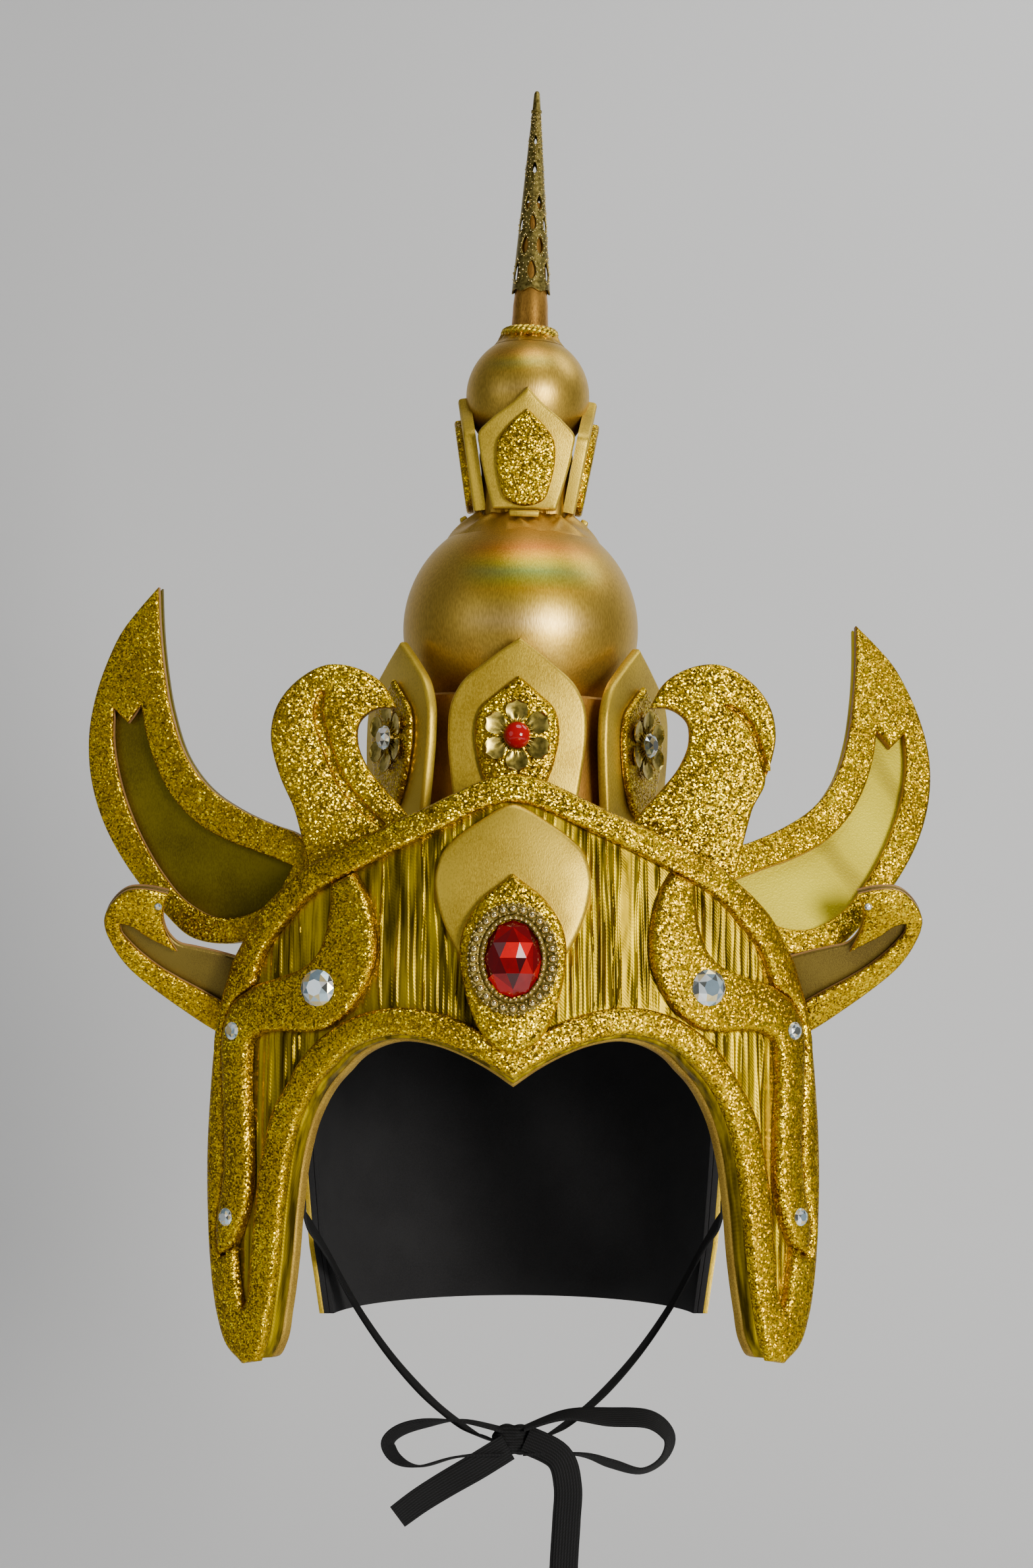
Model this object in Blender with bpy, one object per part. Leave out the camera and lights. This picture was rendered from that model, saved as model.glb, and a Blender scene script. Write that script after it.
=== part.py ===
import math

import bmesh
import bpy
from mathutils import Matrix, Vector
from mathutils.bvhtree import BVHTree
from mathutils.geometry import delaunay_2d_cdt

# Stage headdress: a padded cap with a heart-browed visor, wings, crests and a tower of two balls.
# The front faces -Y, +X is the picture's right, and the inside top of the cap is at Z = 0.

mm = 0.001
gap = 0.3 * mm                    # clearance between pieces that are glued together
settle_step = 0.5 * mm            # a piece that is laid on another starts this close or further off
settle_reach = 30 * mm
settle_off = 8 * mm               # how far off a piece is placed before it is laid on another
settle_halvings = 7
long_step = 14 * mm               # spacing of the points along the long, medium and short outlines
middle_step = 10 * mm
short_step = 6 * mm

# Cap and lining
cap_half_width = 92 * mm
cap_front_reach = 103 * mm
cap_back_reach = 106 * mm
cap_crown_rise = 76 * mm          # head seat above the widest level
cap_length = 190 * mm             # head seat down to the neck guard's edge
cap_wall = 5 * mm
lining_wall = 1.6 * mm
face_drop = 60 * mm               # head seat down to the top of the face opening
ear_edge_back = 18 * mm           # front edge of the ear flaps, behind the middle
cutter_overrun = 30 * mm

# Visor
visor_bow_width = 139 * mm        # half axes of the curve that the visor follows
visor_bow_depth = 94 * mm
visor_half_width = 121.5 * mm
visor_height = 228 * mm
visor_peak_height = 31 * mm       # peak above the head seat
visor_lean_back = 12 * mm
backing_wall = 4 * mm
visor_wall = 6 * mm
trim_wall = 4 * mm
edging_width = 10.4 * mm
edging_overhang = 1 * mm          # the lower layers end this far inside the edging's outer edge
scroll_wall = 5 * mm
scroll_clearance = 0.5 * mm       # between the scrolls and the edging beside them
visor_fold_angle = 8.8            # the visor is flat between upright folds this many degrees apart
visor_fold_count = 6
visor_fold_rows = 3
lip_step = 1.3 * mm               # each layer shows this much below the one in front, at the brow

# Jewel on the brow
crown_plate_half_width = 30.4 * mm
crown_plate_height = 78 * mm
crown_plate_wall = 4 * mm
crown_plate_tuck = 1.5 * mm       # the plate's tip is cut off this far up by the edging
jewel_base_half_width = 20 * mm
jewel_base_height = 68.3 * mm
jewel_base_wall = 4 * mm
jewel_base_middle = 0.53          # share of the base's height at which the stone sits
jewel_height = -40 * mm           # middle of the stone, from the head seat
stone_half_width = 10.9 * mm
stone_half_height = 14.8 * mm
stone_rise = 6.2 * mm
bezel_half_width = 17.9 * mm
bezel_half_height = 21.5 * mm
bezel_rise = 3.4 * mm
bezel_lobes = 18
bezel_scallop = 0.035
stone_sides = 16
small_stone_sides = 12
rhinestone_radius = 7.1 * mm
rhinestone_small_radius = 3.5 * mm
rhinestone_rise_share = 0.5

# Horns, crests and ear wings
horn_reach = 64 * mm
horn_rise = 110 * mm
horn_wall = 4 * mm
horn_frame_wall = 4 * mm
horn_sweep = math.radians(12)
horn_foot_share = -0.31           # a horn leans about its foot, at this share of its rise
horn_root_share = 0.905           # share of the visor's half width where the horns stand
right_horn_lean = math.radians(17)
right_horn_drop = 4 * mm
crest_reach = 100 * mm
crest_rise = 77 * mm
crest_wall = 6 * mm
crest_shift = 4 * mm              # both crests sit this far to the picture's right
groove_width = 2 * mm
groove_depth = 2.4 * mm
groove_end_taper = 0.35
groove_overrun = 0.5 * mm
ear_wing_reach = 43 * mm
ear_wing_rise = 51 * mm
ear_wing_wall = 3.5 * mm
ear_frame_wall = 3 * mm
ear_wing_tilt = math.radians(25)
ear_wing_root_height = -60 * mm
ear_wing_root_share = 0.971

# Tower
tower_lean = math.radians(1.75)
petal_count = 6
petal_radius = 58 * mm            # outer face of the petals from the tower's axis
petal_half_width = 28 * mm
petal_height = 104 * mm
petal_tip_rise = 22 * mm          # tips of the petals above the drum's top
petal_wall = 4.5 * mm
petal_inset_half_width = 17.1 * mm
petal_inset_height = 56 * mm
petal_inset_drop = 16 * mm        # tip of the inset below the petal's
petal_inset_wall = 3 * mm
flower_radius = 13.2 * mm
flower_wall = 1.2 * mm
flower_bead_radius = 5.2 * mm
flower_bead_shoulder = 0.85       # share of the bead's radius where it rounds over
flower_drop = 24.5 * mm           # middle of the flower below the inset's tip
flower_lobes = 6
drum_height = 68 * mm             # top of the drum, from the head seat
drum_wall = 5 * mm
drum_depth = 45.6 * mm            # foot of the drum below the head seat, cut to the cap
drum_lip_taper = 1.5 * mm
ball_radius = 50 * mm
ball_rise = 31.7 * mm             # middle of the ball above the drum's top
skirt_radius = 30 * mm
skirt_wall = 1.6 * mm
skirt_gathers = 10
skirt_gather_depth = 1.1 * mm
cup_radius = 17.6 * mm
cup_flare = 2.6 * mm
cup_height = 26.1 * mm            # cup above the gathered cloth
shelf_width = 2 * mm              # nearly level cloth round the cup's foot
small_petal_count = 4
small_petal_half_width = 20.2 * mm
small_petal_height = 50.5 * mm
small_petal_wall = 3 * mm
small_petal_foot_radius = 21.4 * mm
small_inset_half_width = 12.4 * mm
small_inset_height = 40.5 * mm
small_inset_wall = 2 * mm
small_inset_rise = 1.5 * mm       # foot of the inset above the petal's
small_inset_sunk = 0.2 * mm
small_ball_radius = 26.4 * mm
neck_radius = 8.2 * mm
neck_waist = 0.93                 # share of the neck's radius at its waist
neck_show = 18.4 * mm             # neck seen between the small ball and the spire
neck_in_sleeve = 16.6 * mm
sleeve_clearance = 0.5 * mm
braid_radius = 2.3 * mm
spire_length = 89 * mm
spire_foot_radius = 8.3 * mm
spire_tip_radius = 0.9 * mm
spire_wall = 0.8 * mm
spire_rows = 5
spire_columns = 5
spire_hole_share = 0.62           # each hole's share of its cell
spire_pierced_share = 0.9         # share of the length that is pierced

# Chin tape: a whole loop under the chin and a bow
tape_width = 11 * mm
tape_wall = 1 * mm
tape_pieces = 2                   # pieces of tape between one listed point and the next
tape_cheek = (1.0, 0.35, 0.7)     # how the side tapes face: outwards, back and up
knot_height = -226.5 * mm
knot_front = -80 * mm
knot_half_width = 9 * mm
knot_half_height = 6.5 * mm
knot_half_depth = 6 * mm

# Places of the two side tapes, from the visor flap to the knot; side is measured outwards
tape_route = [
    # side, front to back, height
    (82.5, -79.6, -130.0),
    (84.5, -45.0, -143.0),
    (82.0, -12.0, -154.0),
    (78.2, 14.0, -166.0),
    (67.0, 14.0, -186.0),
    (52.0, -8.0, -203.0),
    (36.0, -40.0, -215.0),
    (24.0, -61.0, -221.5),
    (15.5, -73.0, -225.3),
    (9.2, -77.2, -226.6),
]

# Loops and tails of the bow, from the middle of the knot: across, back, up in millimetres, twist
bow_strands = {
    "left_loop": [
        (-4, -2, 4, 0), (-20, -2, 7.5, 5), (-34, -1, 6.5, 25), (-44, 0, 3.5, 30), (-48.5, -1, -1, 25),
        (-45, -3, -7, 10), (-36, -4, -9.5, -10), (-22, -4, -6, -10), (-4, -3, -4.5, 0),
    ],
    "right_loop": [
        (4, -2, 4.5, 0), (20, -1, 9.5, 10), (37, 1, 8.5, 30), (53, 1, 7.5, 30), (60.5, 0, 1, 25),
        (58, -2, -7, 20), (49.5, -3, -11.5, 20), (38, -4, -8.5, 25), (26, -4, -5, 15), (4, -3, -4.5, 0),
    ],
    "left_tail": [
        (-2, -5, -2, 80), (-14, -7, -9, 80), (-26, -6, -16, 75), (-36, -7, -22, 70), (-44.5, -8, -28, 65),
    ],
    "right_tail": [
        (5, -6, 1, 80), (17.5, -9, -5, 85), (21, -9, -16, 88), (20.5, -7, -30, 90), (19.5, -7, -46, 90),
        (19, -6, -62, 90),
    ],
}


def table(columns, rows):
    names = columns.split()
    return [dict(zip(names, row)) for row in rows]


# Outlines: across and up are shares of the named width and height; corner breaks the curve.
# The visor is measured from the middle outwards and from the flaps' foot up; lip is the share of
# lip_step that lower layers show there.
visor_outer_edge = table("across up corner lip", [
    (0.000, 1.000, 1, 0.0), (0.288, 0.942, 0, 0.0), (0.453, 0.901, 0, 0.0), (0.576, 0.869, 0, 0.0),
    (0.691, 0.836, 0, 0.0), (0.778, 0.794, 0, 0.0), (0.854, 0.746, 0, 0.0), (0.918, 0.678, 0, 0.0),
    (0.963, 0.583, 0, 0.0), (0.990, 0.456, 0, 0.0), (1.000, 0.325, 0, 0.0), (0.988, 0.180, 0, 0.0),
    (0.959, 0.079, 0, 0.0), (0.918, 0.024, 0, 0.0), (0.872, 0.001, 0, 0.0), (0.819, 0.007, 1, 0.0),
])
visor_inner_edge = table("across up corner lip", [
    (0.802, 0.035, 0, 0.2), (0.782, 0.092, 0, 0.3), (0.760, 0.175, 0, 0.3), (0.746, 0.259, 0, 0.3),
    (0.723, 0.351, 0, 0.4), (0.683, 0.425, 0, 0.6), (0.621, 0.482, 0, 0.8), (0.547, 0.524, 0, 1.0),
    (0.469, 0.548, 0, 1.0), (0.379, 0.559, 0, 1.0), (0.272, 0.553, 0, 1.0), (0.165, 0.534, 0, 1.0),
    (0.074, 0.510, 0, 1.0), (0.000, 0.485, 1, 1.0),
])
# The scroll runs from under the upper edging, round the large rhinestone and down the flap.
scroll_edge = table("across up corner", [
    (0.520, 0.842, 1), (0.467, 0.794, 0), (0.444, 0.746, 0), (0.438, 0.697, 0), (0.453, 0.658, 0),
    (0.484, 0.625, 0), (0.527, 0.594, 0), (0.584, 0.572, 0), (0.650, 0.563, 0), (0.741, 0.564, 0),
    (0.811, 0.560, 0), (0.848, 0.546, 0), (0.856, 0.513, 0), (0.853, 0.458, 0), (0.848, 0.370, 0),
    (0.849, 0.294, 0), (0.864, 0.254, 0), (0.886, 0.219, 0), (0.914, 0.191, 0), (0.947, 0.182, 0),
    (0.959, 0.211, 0), (0.955, 0.250, 0), (0.941, 0.294, 0), (0.934, 0.338, 0), (0.935, 0.412, 0),
    (0.943, 0.496, 0), (0.941, 0.557, 0), (0.922, 0.596, 0), (0.881, 0.625, 0), (0.827, 0.643, 0),
    (0.761, 0.654, 0), (0.679, 0.670, 0), (0.626, 0.694, 0), (0.599, 0.728, 0), (0.586, 0.768, 0),
    (0.580, 0.842, 1),
])
scroll_overlay_top = 0.69         # below this share of the height the scroll covers the edging

crown_plate_edge = table("across up corner", [
    (0.00, 1.000, 1), (0.38, 0.908, 0), (0.71, 0.818, 0), (0.91, 0.735, 0), (1.00, 0.607, 0),
    (0.97, 0.504, 0), (0.89, 0.395, 0), (0.77, 0.292, 0), (0.62, 0.209, 0), (0.36, 0.081, 0),
    (0.00, 0.000, 1),
])
jewel_base_edge = table("across up corner", [
    (0.00, 1.000, 1), (0.20, 0.952, 0), (0.48, 0.890, 0), (0.75, 0.795, 0), (0.935, 0.692, 0),
    (1.00, 0.590, 0), (0.975, 0.458, 0), (0.90, 0.341, 0), (0.79, 0.231, 0), (0.63, 0.129, 0),
    (0.375, 0.044, 0), (0.00, 0.000, 0),
])
# Horns: measured outwards and upwards from the root beside the visor
horn_edge = table("out up corner", [
    (0.540, 1.000, 1), (0.785, 0.835, 0), (0.940, 0.627, 0), (0.995, 0.455, 0), (0.980, 0.305, 0),
    (0.880, 0.120, 0), (0.650, -0.090, 0), (0.310, -0.285, 0), (0.060, -0.310, 0), (-0.240, -0.250, 0),
    (-0.420, -0.130, 0), (-0.500, 0.000, 1), (-0.380, 0.085, 0), (-0.215, 0.122, 0), (0.000, 0.180, 0),
    (0.190, 0.255, 0), (0.340, 0.365, 0), (0.445, 0.530, 0), (0.500, 0.700, 0), (0.530, 0.870, 0),
])
horn_window = table("out up corner", [
    (0.830, 0.556, 1), (0.735, 0.500, 1), (0.648, 0.566, 1), (0.610, 0.450, 0), (0.545, 0.340, 0),
    (0.420, 0.215, 0), (0.250, 0.120, 0), (0.077, 0.066, 0), (-0.180, 0.010, 0), (-0.350, -0.030, 1),
    (-0.240, -0.140, 0), (-0.060, -0.205, 0), (0.140, -0.215, 0), (0.320, -0.165, 0), (0.510, -0.045, 0),
    (0.680, 0.125, 0), (0.790, 0.300, 0), (0.830, 0.430, 0),
])
# Crests: measured from the headdress's middle and from the head seat
crest_edge = table("out up corner", [
    (0.840, -0.080, 1), (0.860, 0.020, 0), (0.905, 0.240, 0), (0.962, 0.410, 0), (1.000, 0.610, 0),
    (0.975, 0.780, 0), (0.895, 0.910, 0), (0.775, 0.990, 0), (0.655, 0.970, 0), (0.560, 0.895, 0),
    (0.500, 0.765, 1), (0.590, 0.755, 0), (0.648, 0.690, 0), (0.655, 0.590, 0), (0.620, 0.470, 0),
    (0.550, 0.350, 0), (0.460, 0.220, 0), (0.380, 0.080, 1), (0.400, -0.080, 0), (0.600, -0.150, 0),
])
left_groove = table("out up", [
    (0.800, 0.840), (0.812, 0.760), (0.795, 0.640), (0.765, 0.520), (0.720, 0.390), (0.650, 0.270),
    (0.560, 0.165),
])
right_groove = table("out up", [
    (0.800, 0.780), (0.860, 0.740), (0.905, 0.660), (0.935, 0.560), (0.955, 0.470), (0.965, 0.370),
])
# Ear wings: measured outwards and upwards from the root behind the visor
ear_wing_edge = table("out up corner", [
    (-0.440, 0.330, 1), (0.000, 0.450, 0), (0.190, 0.490, 0), (0.340, 0.525, 0), (0.425, 0.610, 0),
    (0.465, 0.740, 0), (0.445, 0.860, 0), (0.400, 0.965, 1), (0.580, 1.000, 0), (0.780, 0.990, 0),
    (0.920, 0.890, 0), (1.000, 0.740, 0), (0.950, 0.560, 0), (0.790, 0.335, 0), (0.470, 0.085, 0),
    (0.060, -0.180, 0), (-0.090, -0.260, 1), (-0.410, -0.040, 0),
])
ear_frame_edge = table("out up corner", [
    (0.425, 0.620, 0), (0.462, 0.740, 0), (0.442, 0.860, 0), (0.400, 0.965, 1), (0.580, 1.000, 0),
    (0.780, 0.990, 0), (0.920, 0.890, 0), (1.000, 0.740, 0), (0.950, 0.560, 0), (0.790, 0.335, 0),
    (0.470, 0.085, 0), (0.060, -0.180, 0), (-0.090, -0.260, 1), (-0.095, 0.020, 1), (0.070, 0.112, 0),
    (0.250, 0.205, 0), (0.490, 0.335, 0), (0.710, 0.500, 0), (0.845, 0.650, 0), (0.850, 0.715, 0),
    (0.770, 0.700, 0), (0.620, 0.610, 0), (0.470, 0.540, 0), (0.345, 0.480, 1),
])
petal_edge = table("across up corner", [
    (0.000, 1.000, 1), (0.435, 0.912, 0), (0.845, 0.808, 0), (0.965, 0.736, 0), (1.000, 0.625, 0),
    (0.950, 0.471, 0), (0.875, 0.327, 0), (0.840, 0.000, 1),
])
petal_inset_edge = table("across up corner", [
    (0.00, 1.00, 1), (0.47, 0.88, 0), (0.88, 0.76, 0), (1.00, 0.61, 0), (0.935, 0.43, 0),
    (0.73, 0.23, 0), (0.41, 0.07, 0), (0.00, 0.00, 0),
])
small_petal_edge = table("across up corner", [
    (0.00, 1.00, 1), (0.26, 0.89, 0), (0.77, 0.72, 0), (1.00, 0.61, 0), (0.965, 0.48, 0),
    (0.82, 0.22, 0), (0.66, 0.00, 1),
])
small_inset_edge = table("across up corner", [
    (0.00, 1.00, 1), (0.60, 0.83, 0), (0.95, 0.67, 0), (1.00, 0.51, 0), (0.89, 0.27, 0),
    (0.62, 0.06, 0), (0.00, 0.00, 0),
])
# Sections: rise is the share of the named rise, ring the share between the stone and the rim
bezel_section = table("ring rise", [
    (0.00, 0.00), (0.87, 0.00), (0.92, 0.70), (0.40, 1.00), (0.00, 0.80),
])
stone_levels = table("share rise turn", [
    (1.00, 0.00, 0.0), (1.00, 0.22, 0.0), (0.74, 0.70, 0.5), (0.42, 1.00, 0.0),
])
flower_levels = table("share rise", [
    (1.00, 0.00), (1.00, 0.80), (0.42, 1.00),
])
# Gathered cloth over the ball: reach is the share of the skirt's radius, lift that of its wall
skirt_section = table("reach lift ripple", [
    (0.43, 0.00, 0.0), (0.84, 0.00, 0.0), (1.00, 0.00, 0.0), (1.02, 0.60, 1.0), (0.88, 1.00, 0.6),
])
# Lower part of the cap, below its widest level: down is the share of that length
cap_lower_rows = table("down width front back", [
    (0.20, 1.000, 0.99, 0.99), (0.46, 0.995, 0.97, 0.97), (0.73, 0.973, 0.94, 0.91),
    (1.00, 0.915, 0.90, 0.83),
])
cap_dome_steps = 5
cap_columns = 24
# Face opening seen from the side: forward from the ear flap's edge, down from its top edge
face_edge = table("forward down", [
    (1.60, 0.00), (0.75, 0.00), (0.50, 0.03), (0.30, 0.11), (0.13, 0.26), (0.03, 0.44), (0.00, 0.65),
    (0.03, 1.15), (1.60, 1.15),
])

finishes = {
    # name: colour, roughness, metallic
    "glitter_foam": ((0.45, 0.27, 0.035), 0.45, 0.6),
    "gold_cloth": ((0.55, 0.38, 0.10), 0.42, 0.6),
    "pleated_cloth": ((0.48, 0.36, 0.02), 0.38, 0.6),
    "woven_backing": ((0.50, 0.37, 0.12), 0.55, 0.4),
    "black_lining": ((0.012, 0.012, 0.013), 0.9, 0.0),
    "brass": ((0.55, 0.42, 0.16), 0.25, 0.95),
    "red_stone": ((0.35, 0.002, 0.004), 0.08, 0.0),
    "clear_stone": ((0.72, 0.78, 0.85), 0.06, 0.0),
    "gold_cord": ((0.60, 0.42, 0.08), 0.35, 0.6),
    "black_tape": ((0.010, 0.010, 0.010), 0.85, 0.0),
}


def finish(name):
    found = bpy.data.materials.get(name)
    if found:
        return found
    colour, roughness, metallic = finishes[name]
    made = bpy.data.materials.new(name)
    made.use_nodes = True
    shader = made.node_tree.nodes["Principled BSDF"]
    shader.inputs["Base Color"].default_value = (*colour, 1.0)
    shader.inputs["Roughness"].default_value = roughness
    shader.inputs["Metallic"].default_value = metallic
    made.diffuse_color = (*colour, 1.0)
    return made


def add_object(name, bm, material, smooth=True):
    bmesh.ops.recalc_face_normals(bm, faces=bm.faces)
    mesh = bpy.data.meshes.new(name)
    bm.to_mesh(mesh)
    bm.free()
    if smooth:
        mesh.shade_smooth()
        mesh.set_sharp_from_angle(angle=math.radians(35))
    mesh.materials.append(finish(material))
    made = bpy.data.objects.new(name, mesh)
    bpy.context.scene.collection.objects.link(made)
    return made


def add_cutter(name, bm):
    made = add_object(name, bm, "black_lining", smooth=False)
    made.hide_render = True
    made.display_type = "WIRE"
    return made


def apply_boolean(piece, cutter, operation):
    step = piece.modifiers.new("cut", "BOOLEAN")
    step.operation = operation
    step.solver = "EXACT"
    step.object = cutter
    bpy.context.view_layer.update()
    evaluated = piece.evaluated_get(bpy.context.evaluated_depsgraph_get())
    mesh = bpy.data.meshes.new_from_object(evaluated)
    piece.modifiers.remove(step)
    old = piece.data
    piece.data = mesh
    bpy.data.meshes.remove(old)


def subtract(piece, cutter):
    apply_boolean(piece, cutter, "DIFFERENCE")


def unite(piece, other):
    apply_boolean(piece, other, "UNION")
    bpy.data.objects.remove(other)


def move_mesh(piece, matrix):
    piece.data.transform(matrix)
    return piece


def skin_tree(piece, shift):
    corners = [v.co + shift for v in piece.data.vertices]
    return BVHTree.FromPolygons(corners, [tuple(face.vertices) for face in piece.data.polygons])


def settle(pieces, onto, way):
    """Slides the pieces along way until they lie the clearance from what they meet first."""
    still = [skin_tree(piece, Vector((0, 0, 0))) for piece in onto]

    def meets(distance):
        moving = [skin_tree(piece, way * distance) for piece in pieces]
        return any(tree.overlap(other) for tree in moving for other in still)

    near = 0.0
    far = settle_step
    while not meets(far) and far < settle_reach:
        near = far
        far += settle_step
    for _ in range(settle_halvings):
        middle = (near + far) / 2
        near, far = (near, middle) if meets(middle) else (middle, far)
    for piece in pieces:
        move_mesh(piece, Matrix.Translation(way * (near - gap)))


# Outlines in a plane

def outline(rows, width, height, step, across="across", up="up"):
    """Closed curve through the rows, as 2-D points about a step apart."""
    points = [Vector((row[across] * width, row[up] * height)) for row in rows]
    corners = [row.get("corner", 0) for row in rows]
    count = len(points)
    curve = []
    for i in range(count):
        before, start, end, after = (points[(i + k) % count] for k in (-1, 0, 1, 2))
        leave = (end - start) if corners[i] else (end - before) * 0.5
        arrive = (end - start) if corners[(i + 1) % count] else (after - start) * 0.5
        pieces = max(1, round((end - start).length / step))
        for k in range(pieces):
            t = k / pieces
            a, b = 2 * t**3 - 3 * t**2 + 1, t**3 - 2 * t**2 + t
            c, d = 3 * t**2 - 2 * t**3, t**3 - t**2
            curve.append(start * a + leave * b + end * c + arrive * d)
    return curve


def mirrored(half):
    """The rows of a half outline and their mirror, from the top down and back up."""
    left = [dict(row, across=-row["across"]) for row in reversed(half)]
    return half + [row for row in left if abs(row["across"]) > 1e-9]


def inside(loop, point):
    x, y = point
    found = False
    for i in range(len(loop)):
        (x1, y1), (x2, y2) = loop[i - 1], loop[i]
        if (y1 > y) != (y2 > y) and x < (x2 - x1) * (y - y1) / (y2 - y1) + x1:
            found = not found
    return found


def distance_to(loop, point):
    best = 1e9
    for i in range(len(loop)):
        start, end = loop[i - 1], loop[i]
        run = end - start
        share = max(0.0, min(1.0, (point - start).dot(run) / max(run.length_squared, 1e-18)))
        best = min(best, (start + run * share - point).length)
    return best


def outward_normals(loop):
    area = sum(loop[i - 1].cross(loop[i]) for i in range(len(loop)))
    sign = 1 if area > 0 else -1
    normals = []
    for i in range(len(loop)):
        first = (loop[i] - loop[i - 1]).normalized()
        second = (loop[(i + 1) % len(loop)] - loop[i]).normalized()
        across = Vector((first.y + second.y, -first.x - second.x)) * sign
        across = across.normalized() if across.length > 1e-9 else Vector((first.y, -first.x)) * sign
        normals.append(across / max(0.5, across.dot(Vector((first.y, -first.x)) * sign)))
    return normals


def offset(loop, distance):
    """The loop moved outwards by distance, or inwards where it is negative."""
    moved = [p + n * distance for p, n in zip(loop, outward_normals(loop))]
    return [p for p in moved if distance_to(loop, p) > abs(distance) * 0.97]


# Solids between two depths

def plate(name, loops, keep, place, back, front, material, folds=((), ())):
    """A sheet cut to the loops, where keep says so, from depth back to depth front.

    It is flat between the folds, given as lists of across and up."""
    points = [p for loop in loops for p in loop]
    edges = []
    start = 0
    for loop in loops:
        edges += [(start + i, start + (i + 1) % len(loop)) for i in range(len(loop))]
        start += len(loop)
    low = Vector((min(p.x for p in points), min(p.y for p in points)))
    high = Vector((max(p.x for p in points), max(p.y for p in points)))
    lines = [(Vector((x, low.y)), Vector((x, high.y))) for x in folds[0] if low.x < x < high.x]
    lines += [(Vector((low.x, y)), Vector((high.x, y))) for y in folds[1] if low.y < y < high.y]
    for line in lines:
        edges.append((len(points), len(points) + 1))
        points += line
    found = delaunay_2d_cdt([p / mm for p in points], edges, [], 0, 1e-4)
    flat, faces = [v * mm for v in found[0]], found[2]
    kept = []
    for face in faces:
        centre = sum((flat[i] for i in face), Vector((0, 0))) / len(face)
        if keep(centre):
            kept.append(tuple(face))
    bm = bmesh.new()
    used = sorted({i for face in kept for i in face})
    top = {i: bm.verts.new(place(flat[i].x, flat[i].y, front)) for i in used}
    under = {i: bm.verts.new(place(flat[i].x, flat[i].y, back)) for i in used}
    sides = {}
    for face in kept:
        bm.faces.new([top[i] for i in face])
        bm.faces.new([under[i] for i in reversed(face)])
        for i in range(len(face)):
            pair = (face[i - 1], face[i])
            sides[frozenset(pair)] = None if frozenset(pair) in sides else pair
    for pair in sides.values():
        if pair:
            a, b = pair
            bm.faces.new([top[b], top[a], under[a], under[b]])
    bmesh.ops.triangulate(bm, faces=[f for f in bm.faces if len(f.verts) > 3])
    return add_object(name, bm, material)


def lathe(name, profile, segments, material, ripple=None):
    """A turned solid; profile is a closed loop of (radius, height), run from the axis outwards."""
    bm = bmesh.new()
    rings = []
    for k, (radius, height) in enumerate(profile):
        if radius < 1e-7:
            rings.append([bm.verts.new((0, 0, height))])
            continue
        ring = []
        for i in range(segments):
            angle = 2 * math.pi * i / segments
            reach = radius + (ripple(k, angle) if ripple else 0.0)
            ring.append(bm.verts.new((reach * math.cos(angle), reach * math.sin(angle), height)))
        rings.append(ring)
    closed = len(rings[0]) > 1
    last = len(rings) if closed else len(rings) - 1
    for k in range(last):
        lower, upper = rings[k], rings[(k + 1) % len(rings)]
        for i in range(segments):
            j = (i + 1) % segments
            if len(lower) == 1:
                bm.faces.new((lower[0], upper[i], upper[j]))
            elif len(upper) == 1:
                bm.faces.new((lower[i], lower[j], upper[0]))
            else:
                bm.faces.new((lower[i], lower[j], upper[j], upper[i]))
    return add_object(name, bm, material)


# Cap

widest_height = -cap_crown_rise
lining_top = lining_wall
cap_inner_top = lining_top + gap
cap_outer_top = cap_inner_top + cap_wall


def cap_levels(top, bottom):
    """Shares of the cap's width, front and back reach at each ring, with its height."""
    levels = []
    for k in range(1, cap_dome_steps + 1):
        angle = math.pi / 2 * k / cap_dome_steps
        levels.append((math.sin(angle), math.sin(angle), math.sin(angle),
                       widest_height + (top - widest_height) * math.cos(angle)))
    for row in cap_lower_rows:
        levels.append((row["width"], row["front"], row["back"],
                       widest_height + (bottom - widest_height) * row["down"]))
    return levels


def cap_rings(inset, top, bottom):
    """Rings of one skin of the cap, from the pole down; inset is measured from the outer skin."""
    skins = []
    for width, front, back, height in cap_levels(top, bottom):
        ring = []
        for i in range(cap_columns):
            angle = 2 * math.pi * i / cap_columns
            reach = cap_back_reach * back if math.sin(angle) > 0 else cap_front_reach * front
            half = cap_half_width * width
            scale_x = (half - inset * width) / half
            scale_y = (reach - inset * width) / reach
            ring.append(Vector((half * scale_x * math.cos(angle), reach * scale_y * math.sin(angle), height)))
        skins.append(ring)
    return skins


def cap_skin_solid(name, inset, top, bottom):
    """The closed body inside one skin of the cap, used to cut what sits on it."""
    bm = bmesh.new()
    rings = [[bm.verts.new(p) for p in ring] for ring in cap_rings(inset, top, bottom)]
    pole = bm.verts.new((0, 0, top))
    join_rings(bm, pole, rings)
    bm.faces.new(rings[-1])
    return add_cutter(name, bm)


def join_rings(bm, pole, rings):
    count = len(rings[0])
    for i in range(count):
        bm.faces.new((pole, rings[0][i], rings[0][(i + 1) % count]))
    for lower, upper in zip(rings[1:], rings):
        for i in range(count):
            j = (i + 1) % count
            bm.faces.new((upper[i], lower[i], lower[j], upper[j]))


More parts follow.
